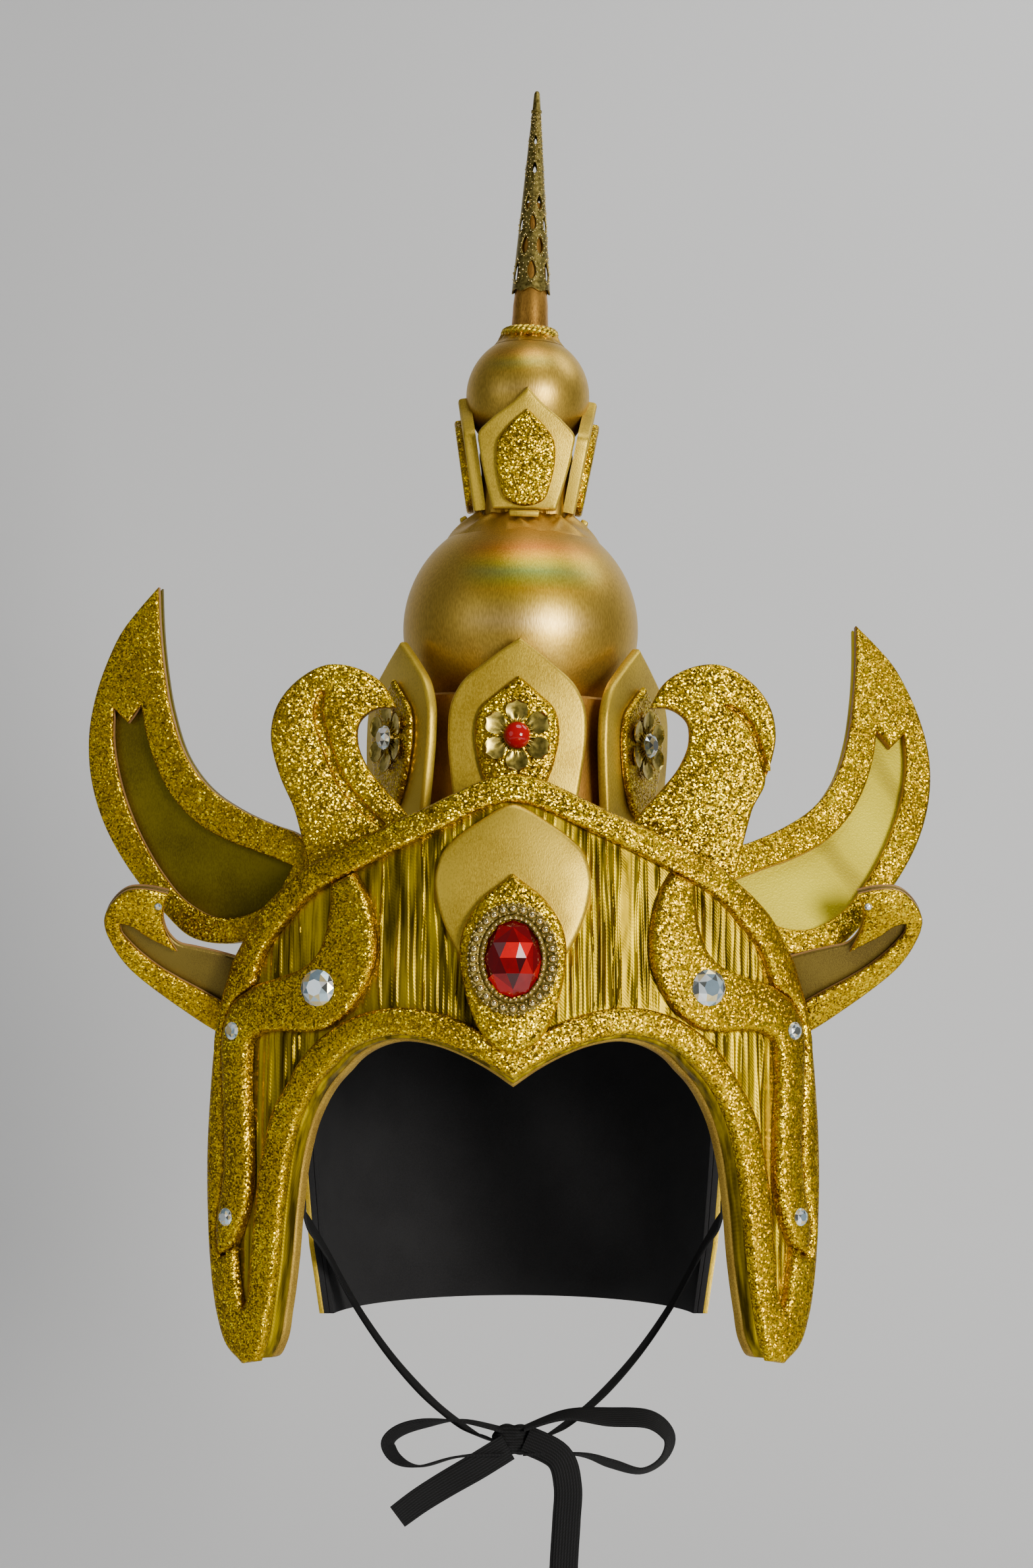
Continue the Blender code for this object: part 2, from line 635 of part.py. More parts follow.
def cap_layer(name, inset, wall, top, bottom, material):
    bm = bmesh.new()
    outer = [[bm.verts.new(p) for p in ring] for ring in cap_rings(inset, top, bottom)]
    inner = [[bm.verts.new(p) for p in ring] for ring in cap_rings(inset + wall, top - wall, bottom)]
    join_rings(bm, bm.verts.new((0, 0, top)), outer)
    join_rings(bm, bm.verts.new((0, 0, top - wall)), inner)
    for i in range(cap_columns):
        j = (i + 1) % cap_columns
        bm.faces.new((outer[-1][i], outer[-1][j], inner[-1][j], inner[-1][i]))
    shell = add_object(name, bm, material)
    subtract(shell, face_cutter())
    return shell


def face_cutter():
    found = bpy.data.objects.get("face_opening")
    if found:
        return found
    forward = cap_front_reach + ear_edge_back
    down = cap_length - face_drop
    curve = [Vector((ear_edge_back - row["forward"] * forward, -face_drop - row["down"] * down))
             for row in face_edge]
    bm = bmesh.new()
    reach = cap_half_width + cutter_overrun
    sides = [[bm.verts.new((side * reach, p.x, p.y)) for p in curve] for side in (-1, 1)]
    for side in sides:
        bm.faces.new(side)
    for i in range(len(curve)):
        bm.faces.new((sides[0][i - 1], sides[0][i], sides[1][i], sides[1][i - 1]))
    return add_cutter("face_opening", bm)


def cap_front_at(height):
    """How far the cap's outer skin reaches forward at a height on its dome."""
    levels = cap_levels(cap_outer_top, -cap_length)
    for upper, lower in zip(levels, levels[1:]):
        if lower[3] <= height <= upper[3]:
            share = (upper[3] - height) / (upper[3] - lower[3])
            return cap_front_reach * (upper[1] * (1 - share) + lower[1] * share)
    return 0.0


# Visor

visor_foot = visor_peak_height - visor_height
brow_point_height = visor_foot + visor_inner_edge[-1]["up"] * visor_height
plate_back = backing_wall + gap
plate_front = plate_back + visor_wall
trim_back = plate_front + gap
trim_front = trim_back + trim_wall


def visor_shift(height):
    share = max(0.0, (height - brow_point_height) / (visor_peak_height - brow_point_height))
    return visor_lean_back * share * share


visor_back_front = -(cap_front_at(-face_drop) + gap + visor_shift(-face_drop))
visor_middle = visor_back_front + visor_bow_depth


fold_angles = [math.radians(visor_fold_angle) * k for k in range(-visor_fold_count, visor_fold_count + 1)]
fold_places = [(visor_bow_width + trim_front) * math.sin(angle) for angle in fold_angles]
fold_heights = [brow_point_height + (visor_peak_height - brow_point_height) * k / visor_fold_rows
                for k in range(visor_fold_rows + 1)]
visor_folds = (fold_places, fold_heights)


def visor_place(x, height, depth):
    """A point of the visor: x is where it shows from the front, depth is out from its back."""
    k = max(1, min(len(fold_places) - 1, sum(place < x for place in fold_places)))
    share = (x - fold_places[k - 1]) / (fold_places[k] - fold_places[k - 1])
    ends = [((visor_bow_width + depth) * math.sin(angle), (visor_bow_depth + depth) * math.cos(angle))
            for angle in fold_angles[k - 1:k + 1]]
    side = ends[0][0] * (1 - share) + ends[1][0] * share
    ahead = ends[0][1] * (1 - share) + ends[1][1] * share
    step = (visor_peak_height - brow_point_height) / visor_fold_rows
    row = max(0, min(visor_fold_rows - 1, int((height - brow_point_height) / step)))
    low, high = fold_heights[row], fold_heights[row + 1]
    up = max(0.0, (height - low) / step)
    lean = visor_shift(low) * (1 - up) + visor_shift(high) * up
    return Vector((side, visor_middle - ahead + lean, height))


def visor_loop(layer):
    """The visor's outline for a layer: 0 is the trim, 1 the plate and 2 the backing."""
    rows = mirrored(visor_outer_edge + visor_inner_edge)
    raised = [dict(row, up=row["up"] + visor_foot / visor_height) for row in rows]
    loop = outline(raised, visor_half_width, visor_height, long_step)
    if layer == 0:
        return loop
    moved = []
    keys = [Vector((row["across"] * visor_half_width, row["up"] * visor_height)) for row in raised]
    for p, n in zip(loop, outward_normals(loop)):
        near = min(range(len(keys)), key=lambda i: (keys[i] - p).length)
        lip = raised[near]["lip"]
        push = lip * lip_step * layer if lip > 0 else -edging_overhang
        moved.append(p + n * push)
    return moved


def make_visor():
    outer = visor_loop(0)
    window = offset(outer, -edging_width)
    for name, layer, back, front, material in (
        ("visor_backing", 2, 0.0, backing_wall, "woven_backing"),
        ("visor_plate", 1, plate_back, plate_front, "pleated_cloth"),
    ):
        loop = visor_loop(layer)
        plate(name, [loop], lambda p, loop=loop: inside(loop, p), visor_place, back, front, material,
              visor_folds)

    scrolls = {}
    for side, word in ((-1, "left"), (1, "right")):
        rows = [dict(row, across=row["across"] * side, up=row["up"] + visor_foot / visor_height)
                for row in scroll_edge]
        scrolls[word] = outline(rows, visor_half_width, visor_height, long_step)
    overlay_top = visor_foot + scroll_overlay_top * visor_height
    cut_rings = {word: offset(loop, scroll_clearance) for word, loop in scrolls.items()}
    inner_window = offset(window, -scroll_clearance)

    def in_trim(p):
        if not inside(outer, p) or inside(window, p):
            return False
        return not (p.y < overlay_top and any(inside(ring, p) for ring in cut_rings.values()))

    plate("visor_trim", [outer, window] + list(cut_rings.values()), in_trim, visor_place,
          trim_back, trim_front, "glitter_foam", visor_folds)
    for word, loop in scrolls.items():
        def in_scroll(p, loop=loop):
            return inside(loop, p) and (p.y < overlay_top or inside(inner_window, p))
        plate("visor_scroll_" + word, [loop, inner_window], in_scroll, visor_place,
              trim_back, trim_back + scroll_wall, "glitter_foam", visor_folds)
    return inner_window


def make_brow_jewel(inner_window):
    window_top = max(p.y for p in inner_window)
    rows = mirrored(crown_plate_edge)
    foot = window_top + crown_plate_tuck - crown_plate_height
    loop = [p + Vector((0, foot)) for p in
            outline(rows, crown_plate_half_width, crown_plate_height, short_step)]
    plate("crown_plate", [loop, inner_window], lambda p: inside(loop, p) and inside(inner_window, p),
          visor_place, trim_back, trim_back + crown_plate_wall, "gold_cloth", visor_folds)
    base_back = max(trim_front, trim_back + crown_plate_wall) + gap
    base_front = base_back + jewel_base_wall
    foot = jewel_height - jewel_base_middle * jewel_base_height
    base_loop = [p + Vector((0, foot)) for p in
                 outline(mirrored(jewel_base_edge), jewel_base_half_width, jewel_base_height, short_step)]

    plate("jewel_base", [base_loop], lambda p: inside(base_loop, p), visor_place,
          base_back, base_front, "glitter_foam", visor_folds)
    # The bezel is flat and leans as the visor does there
    level = visor_place(0.0, jewel_height, base_front)
    above = visor_place(0.0, jewel_height + bezel_half_height, base_front)
    below = visor_place(0.0, jewel_height - bezel_half_height, base_front)
    lean = math.atan2(above.y - below.y, above.z - below.z)
    seat = (Matrix.Translation(Vector((0, level.y - settle_off, jewel_height)))
            @ Matrix.Rotation(math.pi / 2 - lean, 4, "X"))
    bezel = oval_ring("jewel_bezel", bezel_lobes * 2)
    move_mesh(bezel, seat)
    stone = cut_stone("jewel_stone", stone_half_width, stone_half_height, stone_rise, stone_sides,
                      "red_stone")
    move_mesh(stone, seat)
    settle([bezel, stone], [bpy.data.objects["jewel_base"]], seat.to_3x3() @ Vector((0, 0, -1)))


def oval_ring(name, segments):
    """The oval ring round the stone, scalloped along its rim."""
    bm = bmesh.new()
    rings = []
    outermost = max(row["ring"] for row in bezel_section)
    for row in bezel_section:
        blend = row["ring"]
        wide = (stone_half_width + gap) * (1 - blend) + bezel_half_width * blend
        tall = (stone_half_height + gap) * (1 - blend) + bezel_half_height * blend
        depth = bezel_scallop * blend / outermost if blend > outermost / 2 else 0.0
        ring = []
        for i in range(segments):
            angle = 2 * math.pi * i / segments
            swell = 1 + depth * (1 if i % 2 else -1)
            ring.append(bm.verts.new((wide * swell * math.cos(angle), tall * swell * math.sin(angle),
                                      bezel_rise * row["rise"])))
        rings.append(ring)
    for k in range(len(rings)):
        lower, upper = rings[k], rings[(k + 1) % len(rings)]
        for i in range(segments):
            j = (i + 1) % segments
            bm.faces.new((lower[i], lower[j], upper[j], upper[i]))
    return add_object(name, bm, "brass")


def cut_stone(name, half_width, half_height, rise, sides, material):
    """A flat-backed cut stone with a table, a ring of kites and a ring of girdle facets."""
    bm = bmesh.new()
    rings = []
    for level, row in enumerate(stone_levels):
        count = sides if level < 2 else sides // 2
        ring = []
        for i in range(count):
            angle = 2 * math.pi * (i + row["turn"]) / count
            ring.append(bm.verts.new((half_width * row["share"] * math.cos(angle),
                                      half_height * row["share"] * math.sin(angle), rise * row["rise"])))
        rings.append(ring)
    foot, girdle, kite, top = rings
    bm.faces.new(list(reversed(foot)))
    bm.faces.new(top)
    half = len(kite)
    for i in range(sides):
        j = (i + 1) % sides
        bm.faces.new((foot[i], foot[j], girdle[j], girdle[i]))
    for i in range(half):
        a, b, c = girdle[2 * i], girdle[2 * i + 1], girdle[(2 * i + 2) % sides]
        j = (i + 1) % half
        bm.faces.new((a, b, kite[i]))
        bm.faces.new((b, c, kite[i]))
        bm.faces.new((c, kite[j], kite[i]))
        bm.faces.new((kite[i], kite[j], top[j]))
        bm.faces.new((kite[i], top[j], top[i]))
    return add_object(name, bm, material, smooth=False)


# Rhinestones on the scrolls: across and up as on the visor
rhinestone_places = table("name across up large", [
    ("brow_stone", 0.614, 0.638, 1), ("temple_stone", 0.899, 0.564, 0), ("flap_stone", 0.915, 0.247, 0),
])


def make_rhinestones():
    front = trim_back + scroll_wall
    for row in rhinestone_places:
        radius = rhinestone_radius if row["large"] else rhinestone_small_radius
        for side, word in ((-1, "left"), (1, "right")):
            x = side * row["across"] * visor_half_width
            height = visor_foot + row["up"] * visor_height
            here = visor_place(x, height, front)
            run = (visor_place(x + gap, height, front) - visor_place(x - gap, height, front)).normalized()
            rise = (visor_place(x, height + gap, front) - visor_place(x, height - gap, front)).normalized()
            out = run.cross(rise).normalized()
            if out.y > 0:
                out = -out
            rise = out.cross(run)
            seat = Matrix((run, rise, out)).transposed().to_4x4()
            seat.translation = here + out * settle_off
            stone = cut_stone("%s_%s" % (row["name"], word), radius, radius,
                              radius * rhinestone_rise_share,
                              stone_sides if row["large"] else small_stone_sides, "clear_stone")
            move_mesh(stone, seat)
            settle([stone], [bpy.data.objects["visor_scroll_" + word]], -out)


# Crests, horns and ear wings

def frame_place(origin, along, up, front):
    def place(a, b, depth):
        return origin + along * a + up * b + front * depth
    return place


def make_crests():
    """Both crests stand just behind the visor's upper edge."""
    front_y = visor_place(crest_reach, 0.0, 0.0).y + settle_off
    loop = outline(crest_edge, crest_reach, crest_rise, middle_step, "out")
    for side, word, groove in ((-1, "left", left_groove), (1, "right", right_groove)):
        place = frame_place(Vector((crest_shift, front_y, 0)), Vector((side, 0, 0)), Vector((0, 0, 1)),
                            Vector((0, -1, 0)))
        crest = plate("crest_" + word, [loop], lambda p: inside(loop, p), place, -crest_wall, 0.0,
                      "glitter_foam")
        path = [Vector((row["out"] * crest_reach, row["up"] * crest_rise)) for row in groove]
        subtract(crest, strip_cutter(path, place))
        settle([crest], visor_layers(), Vector((0, -1, 0)))


def strip_cutter(path, place):
    """A narrow V along a path in the plate's plane, wide above and sharp below."""
    bm = bmesh.new()
    rings = []
    for i, p in enumerate(path):
        run = (path[min(i + 1, len(path) - 1)] - path[max(i - 1, 0)]).normalized()
        side = Vector((-run.y, run.x))
        taper = groove_end_taper if i in (0, len(path) - 1) else 1.0
        half = groove_width / 2 * taper
        rings.append([bm.verts.new(place(*(p + side * half), groove_overrun)),
                      bm.verts.new(place(*(p - side * half), groove_overrun)),
                      bm.verts.new(place(*p, -groove_depth * taper))])
    for first, second in zip(rings, rings[1:]):
        for k in range(3):
            j = (k + 1) % 3
            bm.faces.new((first[k], first[j], second[j], second[k]))
    bm.faces.new(rings[0])
    bm.faces.new(rings[-1])
    return add_cutter("groove", bm)


def visor_layers():
    return [bpy.data.objects[name] for name in ("visor_backing", "visor_plate", "visor_trim")]


def make_horns():
    """The horns lie behind the crests, the ear wings and the visor."""
    root_x = horn_root_share * visor_half_width
    crest_back = max(v.co.y for v in bpy.data.objects["crest_left"].data.vertices)
    root_y = crest_back + settle_off * 2
    for side, word in ((-1, "left"), (1, "right")):
        lean = right_horn_lean if side > 0 else 0.0
        drop = right_horn_drop if side > 0 else 0.0
        along = Vector((side * math.cos(horn_sweep), math.sin(horn_sweep), 0))
        up = Vector((0, math.sin(lean), math.cos(lean)))
        front = up.cross(along)
        if front.y > 0:
            front = -front
        front.normalize()
        low = horn_foot_share * horn_rise
        place = frame_place(Vector((side * root_x, root_y, low - drop)) - up * low, along, up, front)
        loop = outline(horn_edge, horn_reach, horn_rise, long_step, "out")
        window = outline(horn_window, horn_reach, horn_rise, long_step, "out")
        frame = plate("horn_frame_" + word, [loop, window],
                      lambda p: inside(loop, p) and not inside(window, p),
                      place, -horn_frame_wall, 0.0, "glitter_foam")
        base = plate("horn_" + word, [loop], lambda p: inside(loop, p), place,
                     -horn_frame_wall - gap - horn_wall, -horn_frame_wall - gap, "gold_cloth")
        carriers = [bpy.data.objects[name + word] for name in ("crest_", "ear_wing_", "ear_wing_frame_")]
        settle([frame, base], visor_layers() + carriers, Vector((0, -1, 0)))


def make_ear_wings():
    root_x = ear_wing_root_share * visor_half_width
    front_y = visor_place(root_x, ear_wing_root_height, 0.0).y + settle_off * 2
    up = Vector((0, -math.sin(ear_wing_tilt), math.cos(ear_wing_tilt)))
    for side, word in ((-1, "left"), (1, "right")):
        along = Vector((side, 0, 0))
        front = Vector((0, -math.cos(ear_wing_tilt), -math.sin(ear_wing_tilt)))
        place = frame_place(Vector((side * root_x, front_y, ear_wing_root_height)), along, up, front)
        loop = outline(ear_wing_edge, ear_wing_reach, ear_wing_rise, short_step, "out")
        frame = outline(ear_frame_edge, ear_wing_reach, ear_wing_rise, short_step, "out")
        rim = plate("ear_wing_frame_" + word, [frame], lambda p: inside(frame, p), place,
                    -ear_frame_wall, 0.0, "glitter_foam")
        base = plate("ear_wing_" + word, [loop], lambda p: inside(loop, p), place,
                     -ear_frame_wall - gap - ear_wing_wall, -ear_frame_wall - gap, "gold_cloth")
        settle([rim, base], visor_layers(), Vector((0, -1, 0)))


# Tower

def turned(angle):
    return Matrix.Rotation(angle, 4, "Z")


def sphere_height(centre, radius, at):
    return centre + math.sqrt(max(0.0, radius * radius - at * at))


lean_matrix = Matrix.Rotation(tower_lean, 4, "Y")
petal_tip_height = drum_height + petal_tip_rise
petal_inset_tip_height = petal_tip_height - petal_inset_drop
flower_height = petal_inset_tip_height - flower_drop
ball_height = drum_height + ball_rise
shelf_height = sphere_height(ball_height, ball_radius + gap, cup_radius + shelf_width) + skirt_wall
small_ball_height = shelf_height + cup_height + gap + small_ball_radius
neck_foot = small_ball_height + small_ball_radius + gap
spire_foot_height = neck_foot + neck_show


def make_ball(name, radius, height, segments, rings, material):
    profile = [(radius * math.sin(math.pi * k / rings), height - radius * math.cos(math.pi * k / rings))
               for k in range(rings + 1)]
    profile[0], profile[-1] = (0.0, height - radius), (0.0, height + radius)
    return move_mesh(lathe(name, profile, segments, material), lean_matrix)


def make_large_tier(dome):
    drum_radius = petal_radius - petal_wall - gap
    lip = math.sqrt(max(0.0, ball_radius**2 - ball_rise**2)) + gap
    profile = [(drum_radius - drum_wall, -drum_depth), (drum_radius, -drum_depth),
               (drum_radius, drum_height), (lip, drum_height),
               (lip - drum_lip_taper, drum_height - drum_wall),
               (drum_radius - drum_wall, drum_height - drum_wall)]
    drum = move_mesh(lathe("drum", profile, 24, "gold_cloth"), lean_matrix)
    subtract(drum, dome)
    make_ball("ball", ball_radius, ball_height, 24, 12, "gold_cloth")
    loop = [p + Vector((0, petal_tip_height - petal_height)) for p in
            outline(mirrored(petal_edge), petal_half_width, petal_height, long_step)]
    inset = [p + Vector((0, petal_inset_tip_height - petal_inset_height)) for p in
             outline(mirrored(petal_inset_edge), petal_inset_half_width, petal_inset_height, middle_step)]
    place = frame_place(Vector((0, -petal_radius, 0)), Vector((1, 0, 0)), Vector((0, 0, 1)),
                        Vector((0, -1, 0)))
    inset_front = gap + petal_inset_wall
    for k in range(petal_count):
        spot = lean_matrix @ turned(2 * math.pi * k / petal_count)
        petal = plate("petal_%d" % (k + 1), [loop], lambda p: inside(loop, p), place,
                      -petal_wall, 0.0, "gold_cloth")
        subtract(move_mesh(petal, spot), dome)
        move_mesh(plate("petal_inset_%d" % (k + 1), [inset], lambda p: inside(inset, p), place,
                        gap, inset_front, "glitter_foam"), spot)
        flower = make_flower("flower_%d" % (k + 1))
        seat = (Matrix.Translation(Vector((0, -petal_radius - inset_front - gap, flower_height)))
                @ Matrix.Rotation(math.pi / 2, 4, "X"))
        move_mesh(flower, spot @ seat)


def make_flower(name):
    """A stamped six-petal flower with its bead, flat behind."""
    segments = flower_lobes * 3
    bm = bmesh.new()
    turns = [2 * math.pi * (i + 0.5) / segments for i in range(segments)]
    rings = []
    for row in flower_levels:
        ring = []
        for turn in turns:
            lobe = abs(math.cos(turn * flower_lobes / 2)) ** 0.55
            notch = 0.56 + 0.44 * lobe if row["share"] > 0.5 else 1.0
            reach = flower_radius * row["share"] * notch
            ring.append(bm.verts.new((reach * math.cos(turn), reach * math.sin(turn),
                                      flower_wall * row["rise"])))
        rings.append(ring)
    radius = flower_bead_radius * flower_bead_shoulder
    height = flower_wall + math.sqrt(flower_bead_radius**2 - radius**2)
    rings.append([bm.verts.new((radius * math.cos(turn), radius * math.sin(turn), height)) for turn in turns])
    top = bm.verts.new((0, 0, flower_wall + flower_bead_radius))
    for lower, upper in zip(rings, rings[1:]):
        for i in range(segments):
            j = (i + 1) % segments
            bm.faces.new((lower[i], lower[j], upper[j], upper[i]))
    for i in range(segments):
        bm.faces.new((rings[-1][i], rings[-1][(i + 1) % segments], top))
    bm.faces.new(list(reversed(rings[0])))
    return add_object(name, bm, "brass")


def make_collar():
    """Gathered cloth on top of the ball, with the cup that carries the small ball."""
    under = ball_radius + gap
    cup_top = shelf_height + cup_height
    profile = [(0.0, ball_height + under)]
    for row in skirt_section:
        reach = skirt_radius * row["reach"]
        level = sphere_height(ball_height, under, min(reach, skirt_radius))
        profile.append((reach, level + skirt_wall * row["lift"]))
    profile += [(cup_radius + shelf_width * 2, shelf_height - gap), (cup_radius, shelf_height),
                (cup_radius + cup_flare, cup_top), (0.0, cup_top)]

    def ripple(k, angle):
        share = skirt_section[k - 1]["ripple"] if 0 < k <= len(skirt_section) else 0.0
        return skirt_gather_depth * share * (1 + math.cos(skirt_gathers * angle))

    return move_mesh(lathe("collar", profile, skirt_gathers * 3, "gold_cloth", ripple), lean_matrix)


def make_small_tier():
    foot = shelf_height + gap * 2
    top_radius = small_ball_radius + small_petal_wall + gap * 2
    flare = math.atan2(top_radius - small_petal_foot_radius, small_petal_height)
    up = Vector((0, -math.sin(flare), math.cos(flare)))
    front = Vector((0, -math.cos(flare), -math.sin(flare)))
    place = frame_place(Vector((0, -small_petal_foot_radius, foot)), Vector((1, 0, 0)), up, front)
    loop = outline(mirrored(small_petal_edge), small_petal_half_width,
                   small_petal_height / math.cos(flare), long_step)
    inset = [p + Vector((0, small_inset_rise)) for p in
             outline(mirrored(small_inset_edge), small_inset_half_width, small_inset_height, middle_step)]
    for k in range(small_petal_count):
        spot = lean_matrix @ turned(2 * math.pi * k / small_petal_count)
        petal = plate("small_petal_%d" % (k + 1), [loop], lambda p: inside(loop, p), place,
                      -small_petal_wall, 0.0, "gold_cloth")
        raised = plate("small_inset", [inset], lambda p: inside(inset, p), place,
                       -small_inset_sunk, small_inset_wall, "glitter_foam")
        unite(petal, raised)
        move_mesh(petal, spot)
    make_ball("small_ball", small_ball_radius, small_ball_height, 16, 8, "gold_cloth")


def make_neck_and_braid():
    sleeve_wall = spire_wall + sleeve_clearance
    top = spire_foot_height + neck_in_sleeve
    profile = [(0.0, neck_foot), (neck_radius, neck_foot),
               (neck_radius * neck_waist, neck_foot + neck_show / 2),
               (spire_radius_at(0.0) - sleeve_wall, spire_foot_height - gap * 3),
               (spire_radius_at(neck_in_sleeve / spire_length) - sleeve_wall, top), (0.0, top)]
    move_mesh(lathe("neck", profile, 14, "gold_cloth"), lean_matrix)
    ring_radius = neck_radius + gap + braid_radius
    ring_height = sphere_height(small_ball_height, small_ball_radius + gap + braid_radius, ring_radius)
    sides = 6
    profile = [(ring_radius + braid_radius * math.cos(2 * math.pi * k / sides),
                ring_height + braid_radius * math.sin(2 * math.pi * k / sides))
               for k in range(sides)]
    move_mesh(lathe("braid_ring", profile, 18, "gold_cord"), lean_matrix)


def spire_radius_at(level):
    """Outer radius of the spire at a share of its length."""
    return spire_foot_radius * (1 - level) + spire_tip_radius * level


def make_spire():
    """A pierced metal sleeve: every cell of the cone has a diamond cut through."""
    bm = bmesh.new()
    made = {}

    def corner(skin, column, level):
        key = (skin, round(column % spire_columns, 4), round(level, 6))
        if key not in made:
            radius = max(spire_radius_at(level) - spire_wall * skin, spire_tip_radius / 4)
            angle = 2 * math.pi * column / spire_columns
            made[key] = bm.verts.new((radius * math.cos(angle), radius * math.sin(angle),
                                      spire_foot_height + spire_length * level))
        return made[key]

    step = spire_pierced_share / spire_rows
    reach_x, reach_y = spire_hole_share / 2, step / 2 * spire_hole_share
    for j in range(spire_rows):
        low, middle, high = j * step, (j + 0.5) * step, (j + 1) * step
        for i in range(spire_columns):
            centre = i + 0.5
            holes = []
            for skin in (0, 1):
                ring = [corner(skin, *spot) for spot in (
                    (i, low), (centre, low), (i + 1, low), (i + 1, middle), (i + 1, high), (centre, high),
                    (i, high), (i, middle))]
                hole = [corner(skin, *spot) for spot in (
                    (centre, middle - reach_y), (centre + reach_x, middle),
                    (centre, middle + reach_y), (centre - reach_x, middle))]
                holes.append(hole)
                for k in range(4):
                    side, corner_after = ring[2 * k], ring[(2 * k + 2) % 8]
                    bm.faces.new((side, ring[2 * k + 1], hole[k]))
                    bm.faces.new((ring[2 * k + 1], corner_after, hole[k]))
                    bm.faces.new((corner_after, hole[(k + 1) % 4], hole[k]))
            for k in range(4):
                m = (k + 1) % 4
                bm.faces.new((holes[0][m], holes[0][k], holes[1][k], holes[1][m]))
    # Closed tip above the pierced part, and the open foot
    halves = [c / 2 for c in range(spire_columns * 2)]
    ends = [[corner(skin, half, spire_pierced_share) for half in halves] for skin in (0, 1)]
    feet = [[corner(skin, half, 0.0) for half in halves] for skin in (0, 1)]
    tip = bm.verts.new((0, 0, spire_foot_height + spire_length))
    plug = bm.verts.new((0, 0, spire_foot_height + spire_length * spire_pierced_share))
    for c in range(len(halves)):
        d = (c + 1) % len(halves)
        bm.faces.new((ends[0][c], ends[0][d], tip))
        bm.faces.new((ends[1][d], ends[1][c], plug))
        bm.faces.new((feet[0][d], feet[0][c], feet[1][c], feet[1][d]))
    return move_mesh(add_object("spire_sleeve", bm, "brass"), lean_matrix)


# Chin tape

def spline_points(points, pieces):
    found = []
    for i in range(len(points) - 1):
        p0, p1, p2, p3 = (points[max(0, min(len(points) - 1, i + k))] for k in (-1, 0, 1, 2))
        for k in range(pieces):
            t = k / pieces
            found.append(0.5 * ((2 * p1) + (p2 - p0) * t + (2 * p0 - 5 * p1 + 4 * p2 - p3) * t * t
                                + (3 * p1 - p0 - 3 * p2 + p3) * t**3))
    found.append(points[-1].copy())
    return found


def ribbon(name, path, widths):
    """A flat tape along a path; widths gives the direction of its width at each point."""
    bm = bmesh.new()
    rings = []
    for i, p in enumerate(path):
        run = (path[min(i + 1, len(path) - 1)] - path[max(i - 1, 0)]).normalized()
        wide = (widths[i] - run * widths[i].dot(run)).normalized()
        thick = run.cross(wide).normalized()
        half_w, half_t = wide * (tape_width / 2), thick * (tape_wall / 2)
        corners = (half_w + half_t, half_t - half_w, -half_w - half_t, half_w - half_t)
        rings.append([bm.verts.new(p + corner) for corner in corners])
    for first, second in zip(rings, rings[1:]):
        for k in range(4):
            j = (k + 1) % 4
            bm.faces.new((first[k], first[j], second[j], second[k]))
    bm.faces.new(rings[0])
    bm.faces.new(list(reversed(rings[-1])))
    return add_object(name, bm, "black_tape")


def make_tapes():
    knot = Vector((0, knot_front, knot_height))
    for side, word in ((-1, "left"), (1, "right")):
        points = [Vector((side * x * mm, y * mm, z * mm)) for x, y, z in tape_route]
        path = spline_points(points, tape_pieces)
        # The tape lies flat against the cheek and then turns under the chin
        widths = []
        for i, p in enumerate(path):
            out = Vector((p.x * tape_cheek[0], p.y * tape_cheek[1], (p.z - knot_height / 2) * tape_cheek[2]))
            run = (path[min(i + 1, len(path) - 1)] - path[max(i - 1, 0)]).normalized()
            widths.append(run.cross(out).normalized())
        ribbon("chin_tape_" + word, path, widths)
    bm = bmesh.new()
    bmesh.ops.create_uvsphere(bm, u_segments=10, v_segments=6, radius=1.0)
    bmesh.ops.scale(bm, vec=(knot_half_width, knot_half_depth, knot_half_height), verts=bm.verts)
    bmesh.ops.translate(bm, vec=knot, verts=bm.verts)
    bow = add_object("chin_bow", bm, "black_tape")
    for word, rows in bow_strands.items():
        path = spline_points([knot + Vector((x, y, z)) * mm for x, y, z, twist in rows], tape_pieces)
        turns = spline_points([Vector((twist, 0, 0)) for x, y, z, twist in rows], tape_pieces)
        widths = []
        for i, p in enumerate(path):
            run = (path[min(i + 1, len(path) - 1)] - path[max(i - 1, 0)]).normalized()
            depth_way = Vector((0, 1, 0)) - run * run.y
            side_way = run.cross(depth_way.normalized())
            twist = math.radians(turns[i].x)
            widths.append(depth_way.normalized() * math.cos(twist) + side_way * math.sin(twist))
        unite(bow, ribbon("bow_" + word, path, widths))


def build():
    for item in list(bpy.data.objects):
        bpy.data.objects.remove(item, do_unlink=True)
    cap_layer("cap_shell", 0.0, cap_wall, cap_outer_top, -cap_length, "gold_cloth")
    cap_layer("cap_lining", cap_wall + gap, lining_wall, lining_top, -cap_length, "black_lining")
    inner_window = make_visor()
    make_brow_jewel(inner_window)
    make_rhinestones()
    make_crests()
    make_ear_wings()
    make_horns()
    dome = cap_skin_solid("dome_seat", -gap, cap_outer_top + gap, -cap_length)
    make_large_tier(dome)
    make_collar()
    make_small_tier()
    make_neck_and_braid()
    make_spire()
    make_tapes()


build()
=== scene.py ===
import math
import random

import bmesh
import bpy
import numpy as np
from mathutils import Matrix, Vector, noise
from mathutils.geometry import delaunay_2d_cdt


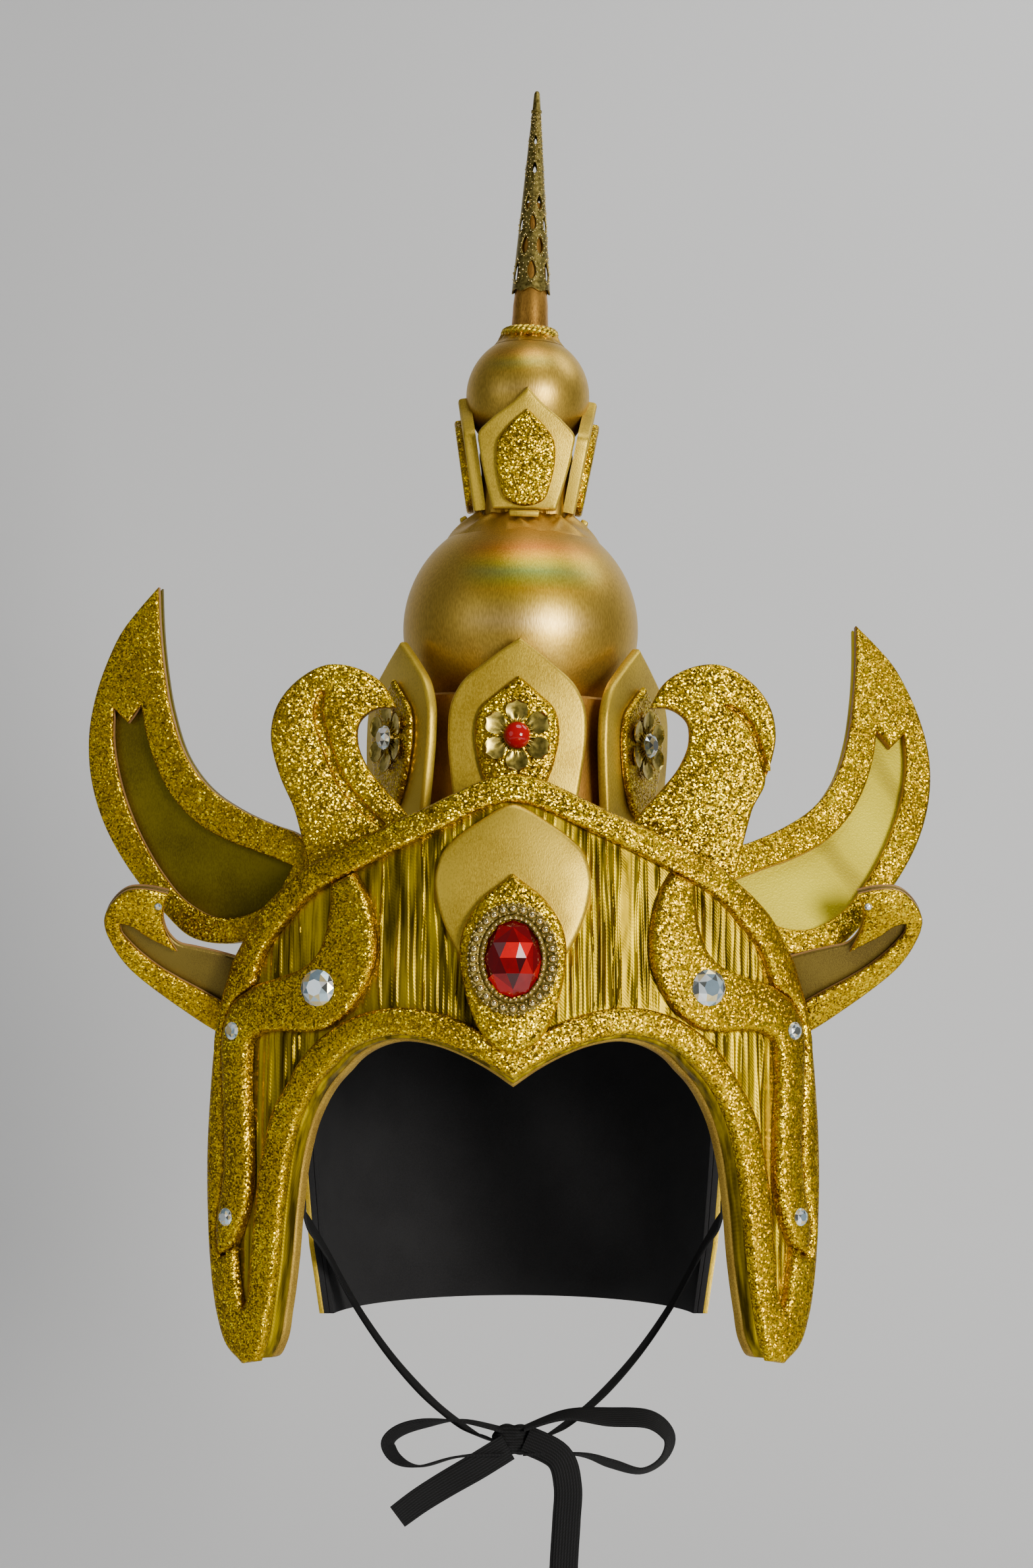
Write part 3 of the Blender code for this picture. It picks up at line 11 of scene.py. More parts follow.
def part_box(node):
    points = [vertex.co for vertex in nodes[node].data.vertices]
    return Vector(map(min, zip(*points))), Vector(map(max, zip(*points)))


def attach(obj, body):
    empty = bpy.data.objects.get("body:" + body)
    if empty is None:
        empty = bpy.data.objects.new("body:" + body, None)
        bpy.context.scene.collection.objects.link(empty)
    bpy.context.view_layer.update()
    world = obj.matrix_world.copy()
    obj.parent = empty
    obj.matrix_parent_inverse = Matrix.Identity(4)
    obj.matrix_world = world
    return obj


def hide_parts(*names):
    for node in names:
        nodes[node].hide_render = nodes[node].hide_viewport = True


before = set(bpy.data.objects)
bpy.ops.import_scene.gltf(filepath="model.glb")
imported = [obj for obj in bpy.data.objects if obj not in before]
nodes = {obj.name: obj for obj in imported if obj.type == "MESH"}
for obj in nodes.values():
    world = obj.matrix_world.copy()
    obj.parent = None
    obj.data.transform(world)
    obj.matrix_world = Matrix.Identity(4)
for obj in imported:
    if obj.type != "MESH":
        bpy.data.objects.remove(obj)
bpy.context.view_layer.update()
mm = 0.001
fullTurn = 2 * math.pi
print("stage: frame loaded")

# Camera, light and surroundings

camera = {"distance": 1.147, "height": -0.046, "aside": 0.0013, "pitch": 4.0, "lens": 62.2, "sensor": 36.0}
lights = {
    # place, size, power, colour, where it points
    "keyLight": ((0.72, -1.20, 0.10), 0.45, 20.5, (1.0, 0.96, 0.90), (0, 0, 0.02)),
    "topLight": ((0.25, -0.45, 1.30), 0.8, 6.0, (1.0, 0.98, 0.95), (0, 0, 0.02)),
    "fillLight": ((-1.2, -1.1, 0.30), 1.0, 2.0, (0.95, 0.97, 1.0), (0, 0, 0.02)),
    "wallLight": ((0.9, 0.15, 1.05), 0.7, 5.0, (1.0, 1.0, 1.0), (0.2, 0.85, 0.1)),
}
surroundings = {"floorHeight": -0.46, "floorFront": -2.2, "backdropPlace": 0.85, "width": 5.0, "height": 4.0,
                "bend": 0.35, "bendSteps": 12, "colour": (0.80, 0.81, 0.82), "worn": 0.97, "air": (0.66, 0.66, 0.68),
                "airStrength": 0.20}


def addObject(name, data):
    made = bpy.data.objects.new(name, data)
    bpy.context.scene.collection.objects.link(made)
    return made


def meshOf(name, bm):
    mesh = bpy.data.meshes.new(name)
    bm.to_mesh(mesh)
    bm.free()
    return mesh


def makeCamera():
    data = bpy.data.cameras.new("camera")
    data.sensor_width = camera["sensor"]
    data.lens = camera["lens"]
    made = addObject("camera", data)
    made.location = (camera["aside"], -camera["distance"], camera["height"])
    made.rotation_euler = (math.radians(90 + camera["pitch"]), 0, 0)
    bpy.context.scene.camera = made


def makeLights():
    for name, (place, size, power, colour, aim) in lights.items():
        data = bpy.data.lights.new(name, "AREA")
        data.shape = "DISK"
        data.size = size
        data.energy = power
        data.color = colour
        made = addObject(name, data)
        made.location = place
        made.rotation_euler = (Vector(aim) - Vector(place)).to_track_quat("-Z", "Y").to_euler()
    world = bpy.data.worlds.new("air")
    world.use_nodes = True
    shader = world.node_tree.nodes["Background"]
    shader.inputs["Color"].default_value = (*surroundings["air"], 1.0)
    shader.inputs["Strength"].default_value = surroundings["airStrength"]
    bpy.context.scene.world = world


# Node helpers

shaderInputs = {"colour": "Base Color", "metal": "Metallic", "rough": "Roughness", "normal": "Normal", "bend": "IOR",
                "gloss": "Specular IOR Level"}


def newMaterial(name):
    made = bpy.data.materials.new(name)
    made.use_nodes = True
    return made, made.node_tree


def feed(tree, socket, value):
    if isinstance(value, bpy.types.NodeSocket):
        tree.links.new(value, socket)
    else:
        socket.default_value = value


def feedShader(made, **looks):
    shader = made.node_tree.nodes["Principled BSDF"]
    for word, value in looks.items():
        feed(made.node_tree, shader.inputs[shaderInputs[word]], value)
    return made


def addNode(tree, kind, output=None, inputs=(), **settings):
    made = tree.nodes.new(kind)
    for key, value in settings.items():
        setattr(made, key, value)
    for place, value in dict(inputs).items():
        feed(tree, made.inputs[place], value)
    return made.outputs if output is None else made.outputs[output]


def objectPlace(tree):
    return addNode(tree, "ShaderNodeTexCoord", "Object")


def sums(tree, operation, *values):
    return addNode(tree, "ShaderNodeMath", 0, enumerate(values), operation=operation)


def vectors(tree, operation, *values):
    return addNode(tree, "ShaderNodeVectorMath", 0, enumerate(values), operation=operation)


def clouds(tree, place, scale, detail=2.0, rough=0.5):
    return addNode(tree, "ShaderNodeTexNoise", "Fac",
                   {"Vector": place, "Scale": scale, "Detail": detail, "Roughness": rough})


def bands(tree, place, scale, distortion, detail):
    return addNode(tree, "ShaderNodeTexWave", "Fac",
                   {"Vector": place, "Scale": scale, "Distortion": distortion, "Detail": detail},
                   wave_type="BANDS", bands_direction="DIAGONAL")


def ranged(tree, value, low, high, first=0.0, last=1.0):
    return addNode(tree, "ShaderNodeMapRange", "Result", enumerate((value, low, high, first, last)))


def mixed(tree, share, first, second, blend="MIX"):
    # 6, 7 and 2 are the node's colour sockets
    return addNode(tree, "ShaderNodeMix", 2, {0: share, 6: first, 7: second}, data_type="RGBA", blend_type=blend)


def ramp(tree, source, *stops):
    made = tree.nodes.new("ShaderNodeValToRGB")
    tree.links.new(source, made.inputs["Fac"])
    elements = made.color_ramp.elements
    while len(elements) < len(stops):
        elements.new(0.5)
    for element, (place, colour) in zip(elements, stops):
        element.position = place
        element.color = (*colour, 1.0)
    return made.outputs["Color"]


def bumpFrom(tree, height, strength, distance, **below):
    return addNode(tree, "ShaderNodeBump", 0, {"Strength": strength, "Distance": distance, "Height": height, **below})


# Materials

glitterLook = {"grain": 0.56 * mm, "spread": 0.70, "rough": 0.30, "patch": 60.0, "wear": 0.5,
               "dark": (0.22, 0.115, 0.0), "middle": (0.60, 0.375, 0.0), "bright": (0.98, 0.74, 0.0)}


def glitterMaterial(name):
    made, tree = newMaterial(name)
    place, wear = objectPlace(tree), glitterLook["wear"]
    cells = addNode(tree, "ShaderNodeTexVoronoi", "Color", {"Vector": place, "Scale": 1 / glitterLook["grain"]})
    tilt = addNode(tree, "ShaderNodeVectorMath", 0, {0: vectors(tree, "SUBTRACT", cells, (0.5, 0.5, 0.5)),
                                                     "Scale": glitterLook["spread"]}, operation="SCALE")
    turned = vectors(tree, "ADD", addNode(tree, "ShaderNodeNewGeometry", "Normal"), tilt)
    worn = sums(tree, "MULTIPLY_ADD", clouds(tree, place, glitterLook["patch"]), wear, -wear / 2)
    tone = sums(tree, "ADD", addNode(tree, "ShaderNodeSeparateColor", "Red", {"Color": cells}), worn)
    colour = ramp(tree, tone, (0.0, glitterLook["dark"]), (0.50, glitterLook["middle"]),
                  (0.82, glitterLook["middle"]), (1.0, glitterLook["bright"]))
    return feedShader(made, colour=colour, normal=vectors(tree, "NORMALIZE", turned), metal=1.0,
                      rough=glitterLook["rough"])


clothLooks = {
    # light, dark, metal, rough, weave, depth, thread stretch
    "champagneCloth": ((0.72, 0.505, 0.045), (0.44, 0.285, 0.018), 0.75, 0.42, 0.55, 0.16, (1, 1, 0.55)),
    "backingCloth": ((0.55, 0.36, 0.05), (0.25, 0.14, 0.014), 0.7, 0.42, 0.55, 0.20, (1, 1, 1)),
    # the drum's darker brown is painted shade, as it stands in the petals' shade
    "drumCloth": ((0.42, 0.21, 0.030), (0.25, 0.115, 0.014), 0.8, 0.36, 0.5, 0.08, (1, 1, 0.4)),
    "neckCloth": ((0.56, 0.29, 0.05), (0.27, 0.12, 0.02), 0.9, 0.34, 0.6, 0.12, (1, 1, 0.4)),
    # the left horn's cloth, darkened to olive as painted shade, where the right horn has the lit wovenPanel
    "oliveSatin": ((0.20, 0.155, 0.004), (0.11, 0.080, 0.002), 0.8, 0.38, 0.5, 0.05, (1, 1, 0.5)),
    "wingSatin": ((0.20, 0.14, 0.020), (0.09, 0.056, 0.008), 0.7, 0.38, 0.6, 0.14, (2.2, 2.2, 0.15)),
    "foamEdge": ((0.42, 0.235, 0.085), (0.26, 0.13, 0.042), 0.2, 0.62, 0.5, 0.12, (1, 1, 1)),
    "blackLining": ((0.011, 0.011, 0.012), (0.005, 0.005, 0.006), 0.0, 0.92, 0.6, 0.10, (1, 1, 1)),
}


def clothMaterial(name, light, dark, metal, rough, weave, depth, thread):
    made, tree = newMaterial(name)
    place = objectPlace(tree)
    fine = clouds(tree, vectors(tree, "MULTIPLY", place, thread), 1 / (weave * mm), 3.0, 0.6)
    mean = sums(tree, "MULTIPLY", sums(tree, "ADD", fine, clouds(tree, place, 35.0)), 0.5)
    return feedShader(made, colour=ramp(tree, mean, (0.38, dark), (0.58, light)), metal=metal, rough=rough,
                      normal=bumpFrom(tree, fine, 0.5, depth * mm))


pleatLook = {"along": (1.0, 1.0, 0.06), "streaks": 260.0, "twill": 420.0, "twillDepth": 0.10 * mm,
             "colours": ((0.34, (0.09, 0.060, 0.0)), (0.50, (0.30, 0.205, 0.0)), (0.64, (0.54, 0.385, 0.0))),
             "rough": (0.2, 0.30)}     # the streaks' share and the least


def pleatMaterial():
    made, tree = newMaterial("pleatedCloth")
    place = objectPlace(tree)
    streaks = clouds(tree, vectors(tree, "MULTIPLY", place, pleatLook["along"]), pleatLook["streaks"], 3.0)
    twill = bands(tree, place, pleatLook["twill"], 1.2, 1.0)
    return feedShader(made, colour=ramp(tree, streaks, *pleatLook["colours"]), metal=1.0,
                      rough=sums(tree, "MULTIPLY_ADD", streaks, *pleatLook["rough"]),
                      normal=bumpFrom(tree, twill, 0.30, pleatLook["twillDepth"]))


# the crease colours run from dark in the hollows to light on the ridges: painted shade
panelLook = {"weave": 0.9 * mm, "weaveDepth": 0.30 * mm, "creases": 7.0, "winding": 9.0, "creaseDepth": 0.5 * mm,
             "colours": ((0.0, (0.42, 0.33, 0.0)), (0.12, (0.62, 0.51, 0.004)), (1.0, (0.72, 0.61, 0.010))),
             "metal": 0.35, "rough": 0.58}


def wovenPanelMaterial():
    made, tree = newMaterial("wovenPanel")
    place = objectPlace(tree)
    cells = addNode(tree, "ShaderNodeTexVoronoi", "Distance", {"Vector": place, "Scale": 1 / panelLook["weave"]},
                    distance="CHEBYCHEV")
    creases = bands(tree, place, panelLook["creases"], panelLook["winding"], 3.0)
    woven = bumpFrom(tree, cells, 0.6, panelLook["weaveDepth"])
    # the colour follows the creases' relief, darker in the hollows: painted shade
    return feedShader(made, colour=ramp(tree, creases, *panelLook["colours"]), metal=panelLook["metal"],
                      rough=panelLook["rough"],
                      normal=bumpFrom(tree, creases, 0.25, panelLook["creaseDepth"], Normal=woven))


ballLook = {"grain": 0.50 * mm, "gold": (0.66, 0.43, 0.065), "brown": (0.46, 0.27, 0.035),
            # the bands of the rainbow, a painted iridescent sheen whose pale pink band low down is a painted
            # highlight, from its foot to the top of the ball
            "rainbow": ((0.02, (0.66, 0.43, 0.065)), (0.12, (0.82, 0.57, 0.20)), (0.27, (0.68, 0.46, 0.05)),
                        (0.36, (0.74, 0.44, 0.01)), (0.42, (0.50, 0.46, 0.03)), (0.49, (0.26, 0.40, 0.09)),
                        (0.55, (0.60, 0.50, 0.02)), (0.60, (0.84, 0.42, 0.01)), (0.66, (0.66, 0.19, 0.02)),
                        (0.74, (0.50, 0.25, 0.04)), (0.90, (0.46, 0.27, 0.035))),
            # foot, top, side, reach and wave as shares of the radius; side and reach place the painted sheen
            "foot": -0.15, "top": 1.05, "side": 0.14, "reach": 0.62, "wave": 0.10}


def ballMaterial(name, middle, radius, paintedSheen):
    made, tree = newMaterial(name)
    place = objectPlace(tree)
    fine = clouds(tree, vectors(tree, "MULTIPLY", place, (1.0, 1.0, 0.22)), 1 / ballLook["grain"])
    parts = addNode(tree, "ShaderNodeSeparateXYZ", None, {"Vector": place})
    wavy = sums(tree, "MULTIPLY_ADD", clouds(tree, place, 30.0, 1.0), ballLook["wave"] * radius, parts["Z"])
    level = ranged(tree, wavy, middle + ballLook["foot"] * radius, middle + ballLook["top"] * radius)
    plain = ramp(tree, level, (0.0, ballLook["gold"]), (0.80, ballLook["gold"]), (1.0, ballLook["brown"]))
    # the painted rainbow sheen shows on the front, a little to the right where the highlight falls, and fades to both
    # sides
    off = sums(tree, "MULTIPLY_ADD", parts["X"], 1 / radius, -ballLook["side"])
    sideways = ranged(tree, sums(tree, "POWER", off, 2.0), 0.0, ballLook["reach"] ** 2, paintedSheen, 0.0)
    front = ranged(tree, parts["Y"], -0.45 * radius, 0.1 * radius, 1.0, 0.0)
    shown = mixed(tree, sums(tree, "MULTIPLY", sideways, front), plain, ramp(tree, level, *ballLook["rainbow"]))
    worn = ramp(tree, fine, (0.35, (0.66, 0.63, 0.58)), (0.65, (1.0, 1.0, 1.0)))
    return feedShader(made, colour=mixed(tree, 0.8, shown, worn, "MULTIPLY"), metal=0.9, rough=0.40,
                      normal=bumpFrom(tree, fine, 0.45, 0.08 * mm))


metalLooks = {
    # light, dark, rough, grain
    "oldBrass": ((0.34, 0.27, 0.070), (0.13, 0.095, 0.018), 0.38, 1.3),
    "paleBrass": ((0.86, 0.70, 0.30), (0.60, 0.44, 0.13), 0.22, 0.9),
    "flowerBrass": ((0.62, 0.48, 0.10), (0.30, 0.225, 0.03), 0.27, 2.5),
    "studBrass": ((0.96, 0.80, 0.40), (0.62, 0.46, 0.15), 0.13, 0.9),
    "goldCord": ((0.86, 0.62, 0.05), (0.46, 0.29, 0.02), 0.32, 0.5),
}


def metalMaterial(name, light, dark, rough, grain):
    made, tree = newMaterial(name)
    spots = clouds(tree, objectPlace(tree), 1 / (grain * mm), 3.0)
    return feedShader(made, colour=ramp(tree, spots, (0.35, dark), (0.62, light)), metal=1.0,
                      rough=sums(tree, "MULTIPLY_ADD", spots, 0.2, rough - 0.1),
                      normal=bumpFrom(tree, spots, 0.15, 0.05 * mm))


stoneLooks = {
    # how far it mirrors, then the colours from a facet's darkest tone to its brightest; on the cut stones these
    # colours are painted reflections, and the red stone's palest one is a painted highlight
    "redStone": (0.0, (0.0, (0.035, 0.0, 0.001)), (0.35, (0.14, 0.0, 0.002)), (0.6, (0.50, 0.0, 0.002)),
                 (0.85, (0.85, 0.006, 0.006)), (0.97, (1.0, 0.62, 0.60))),
    "redBead": (0.0, (0.0, (0.38, 0.0, 0.002)), (1.0, (0.48, 0.001, 0.003))),
    "clearStone": (0.55, (0.0, (0.10, 0.085, 0.055)), (0.25, (0.30, 0.42, 0.50)), (0.5, (0.55, 0.72, 0.80)),
                   (0.7, (0.85, 0.95, 1.0)), (0.85, (0.75, 0.62, 0.28)), (1.0, (1.0, 1.0, 1.0))),
}


def stoneMaterial(name, mirror, *tones):
    made, tree = newMaterial(name)
    # the facets' painted reflections come in as the tone attribute
    tone = addNode(tree, "ShaderNodeAttribute", "Fac", attribute_type="GEOMETRY", attribute_name="tone")
    cloudy = sums(tree, "MULTIPLY_ADD", clouds(tree, objectPlace(tree), 260.0), 0.12, tone)
    return feedShader(made, colour=ramp(tree, sums(tree, "SUBTRACT", cloudy, 0.06), *tones), metal=mirror, rough=0.08,
                      bend=1.55)


tapeLook = {"ribs": 62.0, "twill": 5200.0, "twillShare": 0.4, "depth": 0.15 * mm, "rough": 0.85, "gloss": 0.25,
            "dark": (0.003, 0.003, 0.003), "light": (0.011, 0.011, 0.012)}


def tapeMaterial():
    made, tree = newMaterial("blackTwill")
    parts = addNode(tree, "ShaderNodeSeparateXYZ", None, {"Vector": addNode(tree, "ShaderNodeUVMap", "UV",
                                                                            uv_map="UVMap")})
    across = sums(tree, "MULTIPLY", parts["X"], tapeLook["ribs"])
    along = sums(tree, "MULTIPLY", parts["Y"], tapeLook["twill"])
    twill = sums(tree, "SINE", sums(tree, "ADD", across, along))
    total = sums(tree, "MULTIPLY_ADD", twill, tapeLook["twillShare"], sums(tree, "SINE", across))
    return feedShader(made, colour=ramp(tree, total, (0.0, tapeLook["dark"]), (1.0, tapeLook["light"])),
                      rough=tapeLook["rough"], gloss=tapeLook["gloss"],
                      normal=bumpFrom(tree, total, 0.6, tapeLook["depth"]))


def stageMaterial():
    made, tree = newMaterial("palePaint")
    base = surroundings["colour"]
    worn = tuple(c * surroundings["worn"] for c in base)
    spots = clouds(tree, objectPlace(tree), 3.0, 1.0)
    return feedShader(made, colour=ramp(tree, spots, (0.3, worn), (0.7, base)), rough=0.9)


def makeMaterials():
    made = {"glitterGold": glitterMaterial("glitterGold"), "pleatedCloth": pleatMaterial(),
            "wovenPanel": wovenPanelMaterial(), "blackTwill": tapeMaterial(), "palePaint": stageMaterial()}
    for build, looks in ((clothMaterial, clothLooks), (metalMaterial, metalLooks), (stoneMaterial, stoneLooks)):
        made.update({name: build(name, *look) for name, look in looks.items()})
    return made


# Outlines: loops of 2-D points in a plate's own plane

outline = {"closest": 0.05 * mm, "straight": 1.2, "corner": 48.0, "softCorner": 60.0, "same": 0.003 * mm}


def around(count, shift=0.0):
    return [fullTurn * (i + shift) / count for i in range(count)]


def turnAt(loop, i):
    a, b, c = loop[i - 1], loop[i], loop[(i + 1) % len(loop)]
    first = math.atan2(b[1] - a[1], b[0] - a[0])
    second = math.atan2(c[1] - b[1], c[0] - b[0])
    return abs((second - first + math.pi) % fullTurn - math.pi)


def smoothLoop(loop, step, corner=outline["corner"]):
    # a curve through the loop's own points, about a step apart; sharp corners stay
    kept = [p for i, p in enumerate(loop) if math.dist(p, loop[i - 1]) > outline["closest"]]
    kept = [p for i, p in enumerate(kept) if turnAt(kept, i) > math.radians(outline["straight"])]
    count = len(kept)
    points = [np.array(p) for p in kept]
    sharp = [turnAt(kept, i) > math.radians(corner) for i in range(count)]
    found = []
    for i in range(count):
        p0, p1, p2, p3 = (points[(i + k) % count] for k in (-1, 0, 1, 2))
        h0, h1, h2 = (max(np.linalg.norm(b - a), 1e-9) for a, b in ((p0, p1), (p1, p2), (p2, p3)))
        run = (p2 - p1) / h1
        m1 = run if sharp[i] else (run * h0 + (p1 - p0) / h0 * h1) / (h0 + h1)
        m2 = run if sharp[(i + 1) % count] else ((p3 - p2) / h2 * h1 + run * h2) / (h1 + h2)
        pieces = max(1, round(h1 / step))
        for t in (k / pieces for k in range(pieces)):
            found.append(p1 * (2 * t**3 - 3 * t**2 + 1) + m1 * h1 * (t**3 - 2 * t**2 + t)
                         + p2 * (3 * t**2 - 2 * t**3) + m2 * h1 * (t**3 - t**2))
    return np.array(found)


def insideLoops(points, loops):
    x, y = points[:, 0], points[:, 1]
    found = np.zeros(len(points), bool)
    for loop in loops:
        for (a, b), (c, d) in zip(loop, np.roll(loop, -1, axis=0)):
            if b != d:
                found ^= ((b > y) != (d > y)) & (x < (c - a) * (y - b) / (d - b) + a)
    return found


def nearLoops(points, loops):
    best = np.full(len(points), 1e9)
    for loop in loops:
        for a, b in zip(loop, np.roll(loop, -1, axis=0)):
            run = b - a
            t = np.clip(((points - a) @ run) / max(run @ run, 1e-18), 0, 1)
            best = np.minimum(best, np.hypot(*(points - a - t[:, None] * run).T))
    return best


def loopArea(loop):
    x, y = loop[:, 0], loop[:, 1]
    return 0.5 * float(np.sum(x * np.roll(y, -1) - np.roll(x, -1) * y))


def largest(loops):
    return max(range(len(loops)), key=lambda i: abs(loopArea(loops[i])))


def unitRows(rows, least=1e-12):
    return rows / np.maximum(np.linalg.norm(rows, axis=1), least)[:, None]


def loopNormals(loop, solidInside):
    ahead = unitRows(np.roll(loop, -1, axis=0) - loop)
    mean = unitRows(ahead + unitRows(loop - np.roll(loop, 1, axis=0)), 1e-9)
    sign = 1.0 if (loopArea(loop) > 0) == solidInside else -1.0
    normal, across = (np.stack([-run[:, 1], run[:, 0]], 1) * sign for run in (mean, ahead))
    return normal / np.maximum(np.sum(normal * across, axis=1), 0.5)[:, None]


def capFaces(loops, grid):
    # triangles of the area between loops, and for each point the ones that it stands for
    points = np.concatenate(loops)
    edges, start = [], 0
    for loop in loops:
        edges += [(start + i, start + (i + 1) % len(loop)) for i in range(len(loop))]
        start += len(loop)
    if grid:
        low, high = points.min(0), points.max(0)
        gx, gy = np.meshgrid(np.arange(low[0], high[0], grid), np.arange(low[1], high[1], grid))
        gx[1::2] += grid / 2
        extra = np.stack([gx.ravel(), gy.ravel()], 1)
        extra = extra[insideLoops(extra, loops)]
        points = np.concatenate([points, extra[nearLoops(extra, loops) > grid * 0.5]])
    found = delaunay_2d_cdt([Vector(p / mm) for p in points], edges, [], 0, 1e-5)
    flat = np.array([tuple(v) for v in found[0]]) * mm
    faces = np.array([f for f in found[2]])
    return flat, faces[insideLoops(flat[faces].mean(1), loops)], found[3]


# Meshes

def ringsToFaces(bm, rings, closed=True, ends=False, slots=()):
    made = []
    for number, (low, high) in enumerate(zip(rings, rings[1:] + rings[:closed])):
        for i in range(len(low)):
            j = (i + 1) % len(low)
            made.append(bm.faces.new((low[i], low[j], high[j], high[i])))
            made[-1].material_index = slots[number] if slots else 0
    if ends:
        bm.faces.new(list(reversed(rings[0])))
        bm.faces.new(rings[-1])
    return made


def makeRings(bm, rows, count, placeOf):
    return [[bm.verts.new(placeOf(angle, *row)) for angle in around(count)] for row in rows]


def roundedPlate(bm, loops, place, back, front, radius, grid=0.0, steps=3, slot=0, backRadius=0.0, sideSlot=None):
    # straight sides, a rounded front rim, and a rounded back one where backRadius says so
    outer = largest(loops)
    profile = [(0.0, back)]
    if backRadius:
        profile = [(backRadius * (1 - math.sin(a)), back + backRadius * (1 - math.cos(a)))
                   for a in (0.0, math.pi / 4, math.pi / 2)]
    sides = len(profile)
    profile += [(radius * (1 - math.cos(a)), front - radius + radius * math.sin(a))
                for a in (math.pi / 2 * k / steps for k in range(steps + 1))]
    slots = [slot if sideSlot is None else sideSlot] * sides + [slot] * steps
    ends = {back: [], front: []}
    for number, loop in enumerate(loops):
        inward = loopNormals(loop, number == outer)
        flats = [loop + inward * inset for inset, depth in profile]
        rings = [[bm.verts.new(place(a, b, depth)) for a, b in flat] for flat, (inset, depth) in zip(flats, profile)]
        ringsToFaces(bm, rings, closed=False, slots=slots)
        ends[front].append((flats[-1], rings[-1]))
        ends[back].append((flats[0], rings[0]))
    for depth in (front, back):
        flat, faces, origins = capFaces([p[0] for p in ends[depth]], grid)
        own = [v for p in ends[depth] for v in p[1]]
        verts = []
        for (a, b), source in zip(flat, origins):
            known = [s for s in source if s < len(own)]
            verts.append(own[known[0]] if known else bm.verts.new(place(a, b, depth)))
        for face in faces:
            corners = [verts[i] for i in face]
            if len(set(corners)) == 3 and not bm.faces.get(corners):
                bm.faces.new(corners).material_index = slot


def cleanCopy(name):
    bm = bmesh.new()
    bm.from_mesh(nodes[name].data)
    bmesh.ops.remove_doubles(bm, verts=bm.verts, dist=outline["same"])
    bmesh.ops.recalc_face_normals(bm, faces=bm.faces)
    return bm


def rims(bm, isFront):
    # closed chains of places round the faces for which isFront holds
    front = {f for f in bm.faces if isFront(f)}
    links = {}
    for face in front:
        for loop in face.loops:
            others = [f for f in loop.edge.link_faces if f is not face]
            if not others or others[0] not in front:
                links.setdefault(loop.vert, []).append(loop.link_loop_next.vert)
    chains = []
    while links:
        chain, at = [], next(iter(links))
        while at in links:
            chain.append(at)
            ahead = links[at].pop()
            if not links[at]:
                del links[at]
            at = ahead
        chains.append([v.co.copy() for v in chain])
    return [chain for chain in chains if len(chain) > 2]


def axesOf(bm, hint, least, side=1):
    # along, up and out of a flat piece, from the faces that look along hint, or away from it with side -1
    total = Vector((0, 0, 0))
    for face in bm.faces:
        if face.normal.dot(hint) * side > least:
            total += face.normal * face.calc_area() * side
    out = total.normalized()
    up = (Vector((0, 0, 1)) - out * out.z).normalized()
    return up.cross(out), up, out


def spanOf(bm, axis):
    reach = [v.co.dot(axis) for v in bm.verts]
    return min(reach), max(reach)


def finishObject(made, materials, replaced=(), angle=38.0, smooth=True):
    if smooth:
        made.data.shade_smooth()
        made.data.set_sharp_from_angle(angle=math.radians(angle))
    for word in materials:
        made.data.materials.append(palette[word])
    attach(made, "root")
    if replaced:
        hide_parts(*replaced)
    return made


def finishPiece(name, bm, *rest, **more):
    bmesh.ops.recalc_face_normals(bm, faces=bm.faces)
    return finishObject(addObject(name, meshOf(name, bm)), *rest, **more)


def applied(made):
    # the mesh that the modifiers make of it
    shown = made.evaluated_get(bpy.context.evaluated_depsgraph_get())
    found = bpy.data.meshes.new_from_object(shown)
    made.modifiers.clear()
    return found


def boxMiddle(name):
    return sum((Vector(c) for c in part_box(name)), Vector()) / 2


def makeStage():
    bend, back, floor = surroundings["bend"], surroundings["backdropPlace"], surroundings["floorHeight"]
    rows = [(surroundings["floorFront"], floor)]
    for k in range(surroundings["bendSteps"] + 1):
        angle = math.pi / 2 * k / surroundings["bendSteps"]
        rows.append((back - bend + bend * math.sin(angle), floor + bend * (1 - math.cos(angle))))
    rows.append((back, surroundings["height"]))
    bm = bmesh.new()
    strips = [[bm.verts.new((side * surroundings["width"], y, z)) for side in (-1, 1)] for y, z in rows]
    for low, high in zip(strips, strips[1:]):
        bm.faces.new((low[0], low[1], high[1], high[0]))
    made = addObject("backdrop", meshOf("backdrop", bm))
    made.data.shade_smooth()
    made.data.materials.append(palette["palePaint"])


makeCamera()
makeLights()
palette = makeMaterials()
makeStage()
print("stage: camera, light, materials and backdrop made")

# Visor: the same curve as the frame's

visor = {"bowWidth": 139 * mm, "bowDepth": 94 * mm, "trimFront": 14.6 * mm, "leanBack": 12 * mm,
         "browPoint": -86.42 * mm, "peak": 31 * mm, "mostSine": 0.97, "step": 1.6 * mm, "grid": 7 * mm,
         "least": 3 * mm, "edge": 2.1 * mm, "scroll": 2.5 * mm, "lip": 1.4 * mm, "backingWall": 4.0 * mm,
         "belowDome": -60 * mm, "middleHalf": 1.0 * mm, "firstDepth": 8 * mm, "depthSteps": 12, "facing": 0.7}
visorLayers = {
    # node: back and front in mm, rim, material
    "visor_backing": (0.0, 4.0, "lip", "backingCloth"),
    "visor_plate": (4.3, 10.3, "lip", "pleatedCloth"),
    "visor_trim": (10.6, 14.6, "edge", "glitterGold"),
    "visor_scroll_left": (10.6, 15.6, "scroll", "glitterGold"),
    "visor_scroll_right": (10.6, 15.6, "scroll", "glitterGold"),
    "crown_plate": (10.6, 14.6, "edge", "champagneCloth"),
    "jewel_base": (14.9, 18.9, "edge", "glitterGold"),
}
visorOutlines = {}
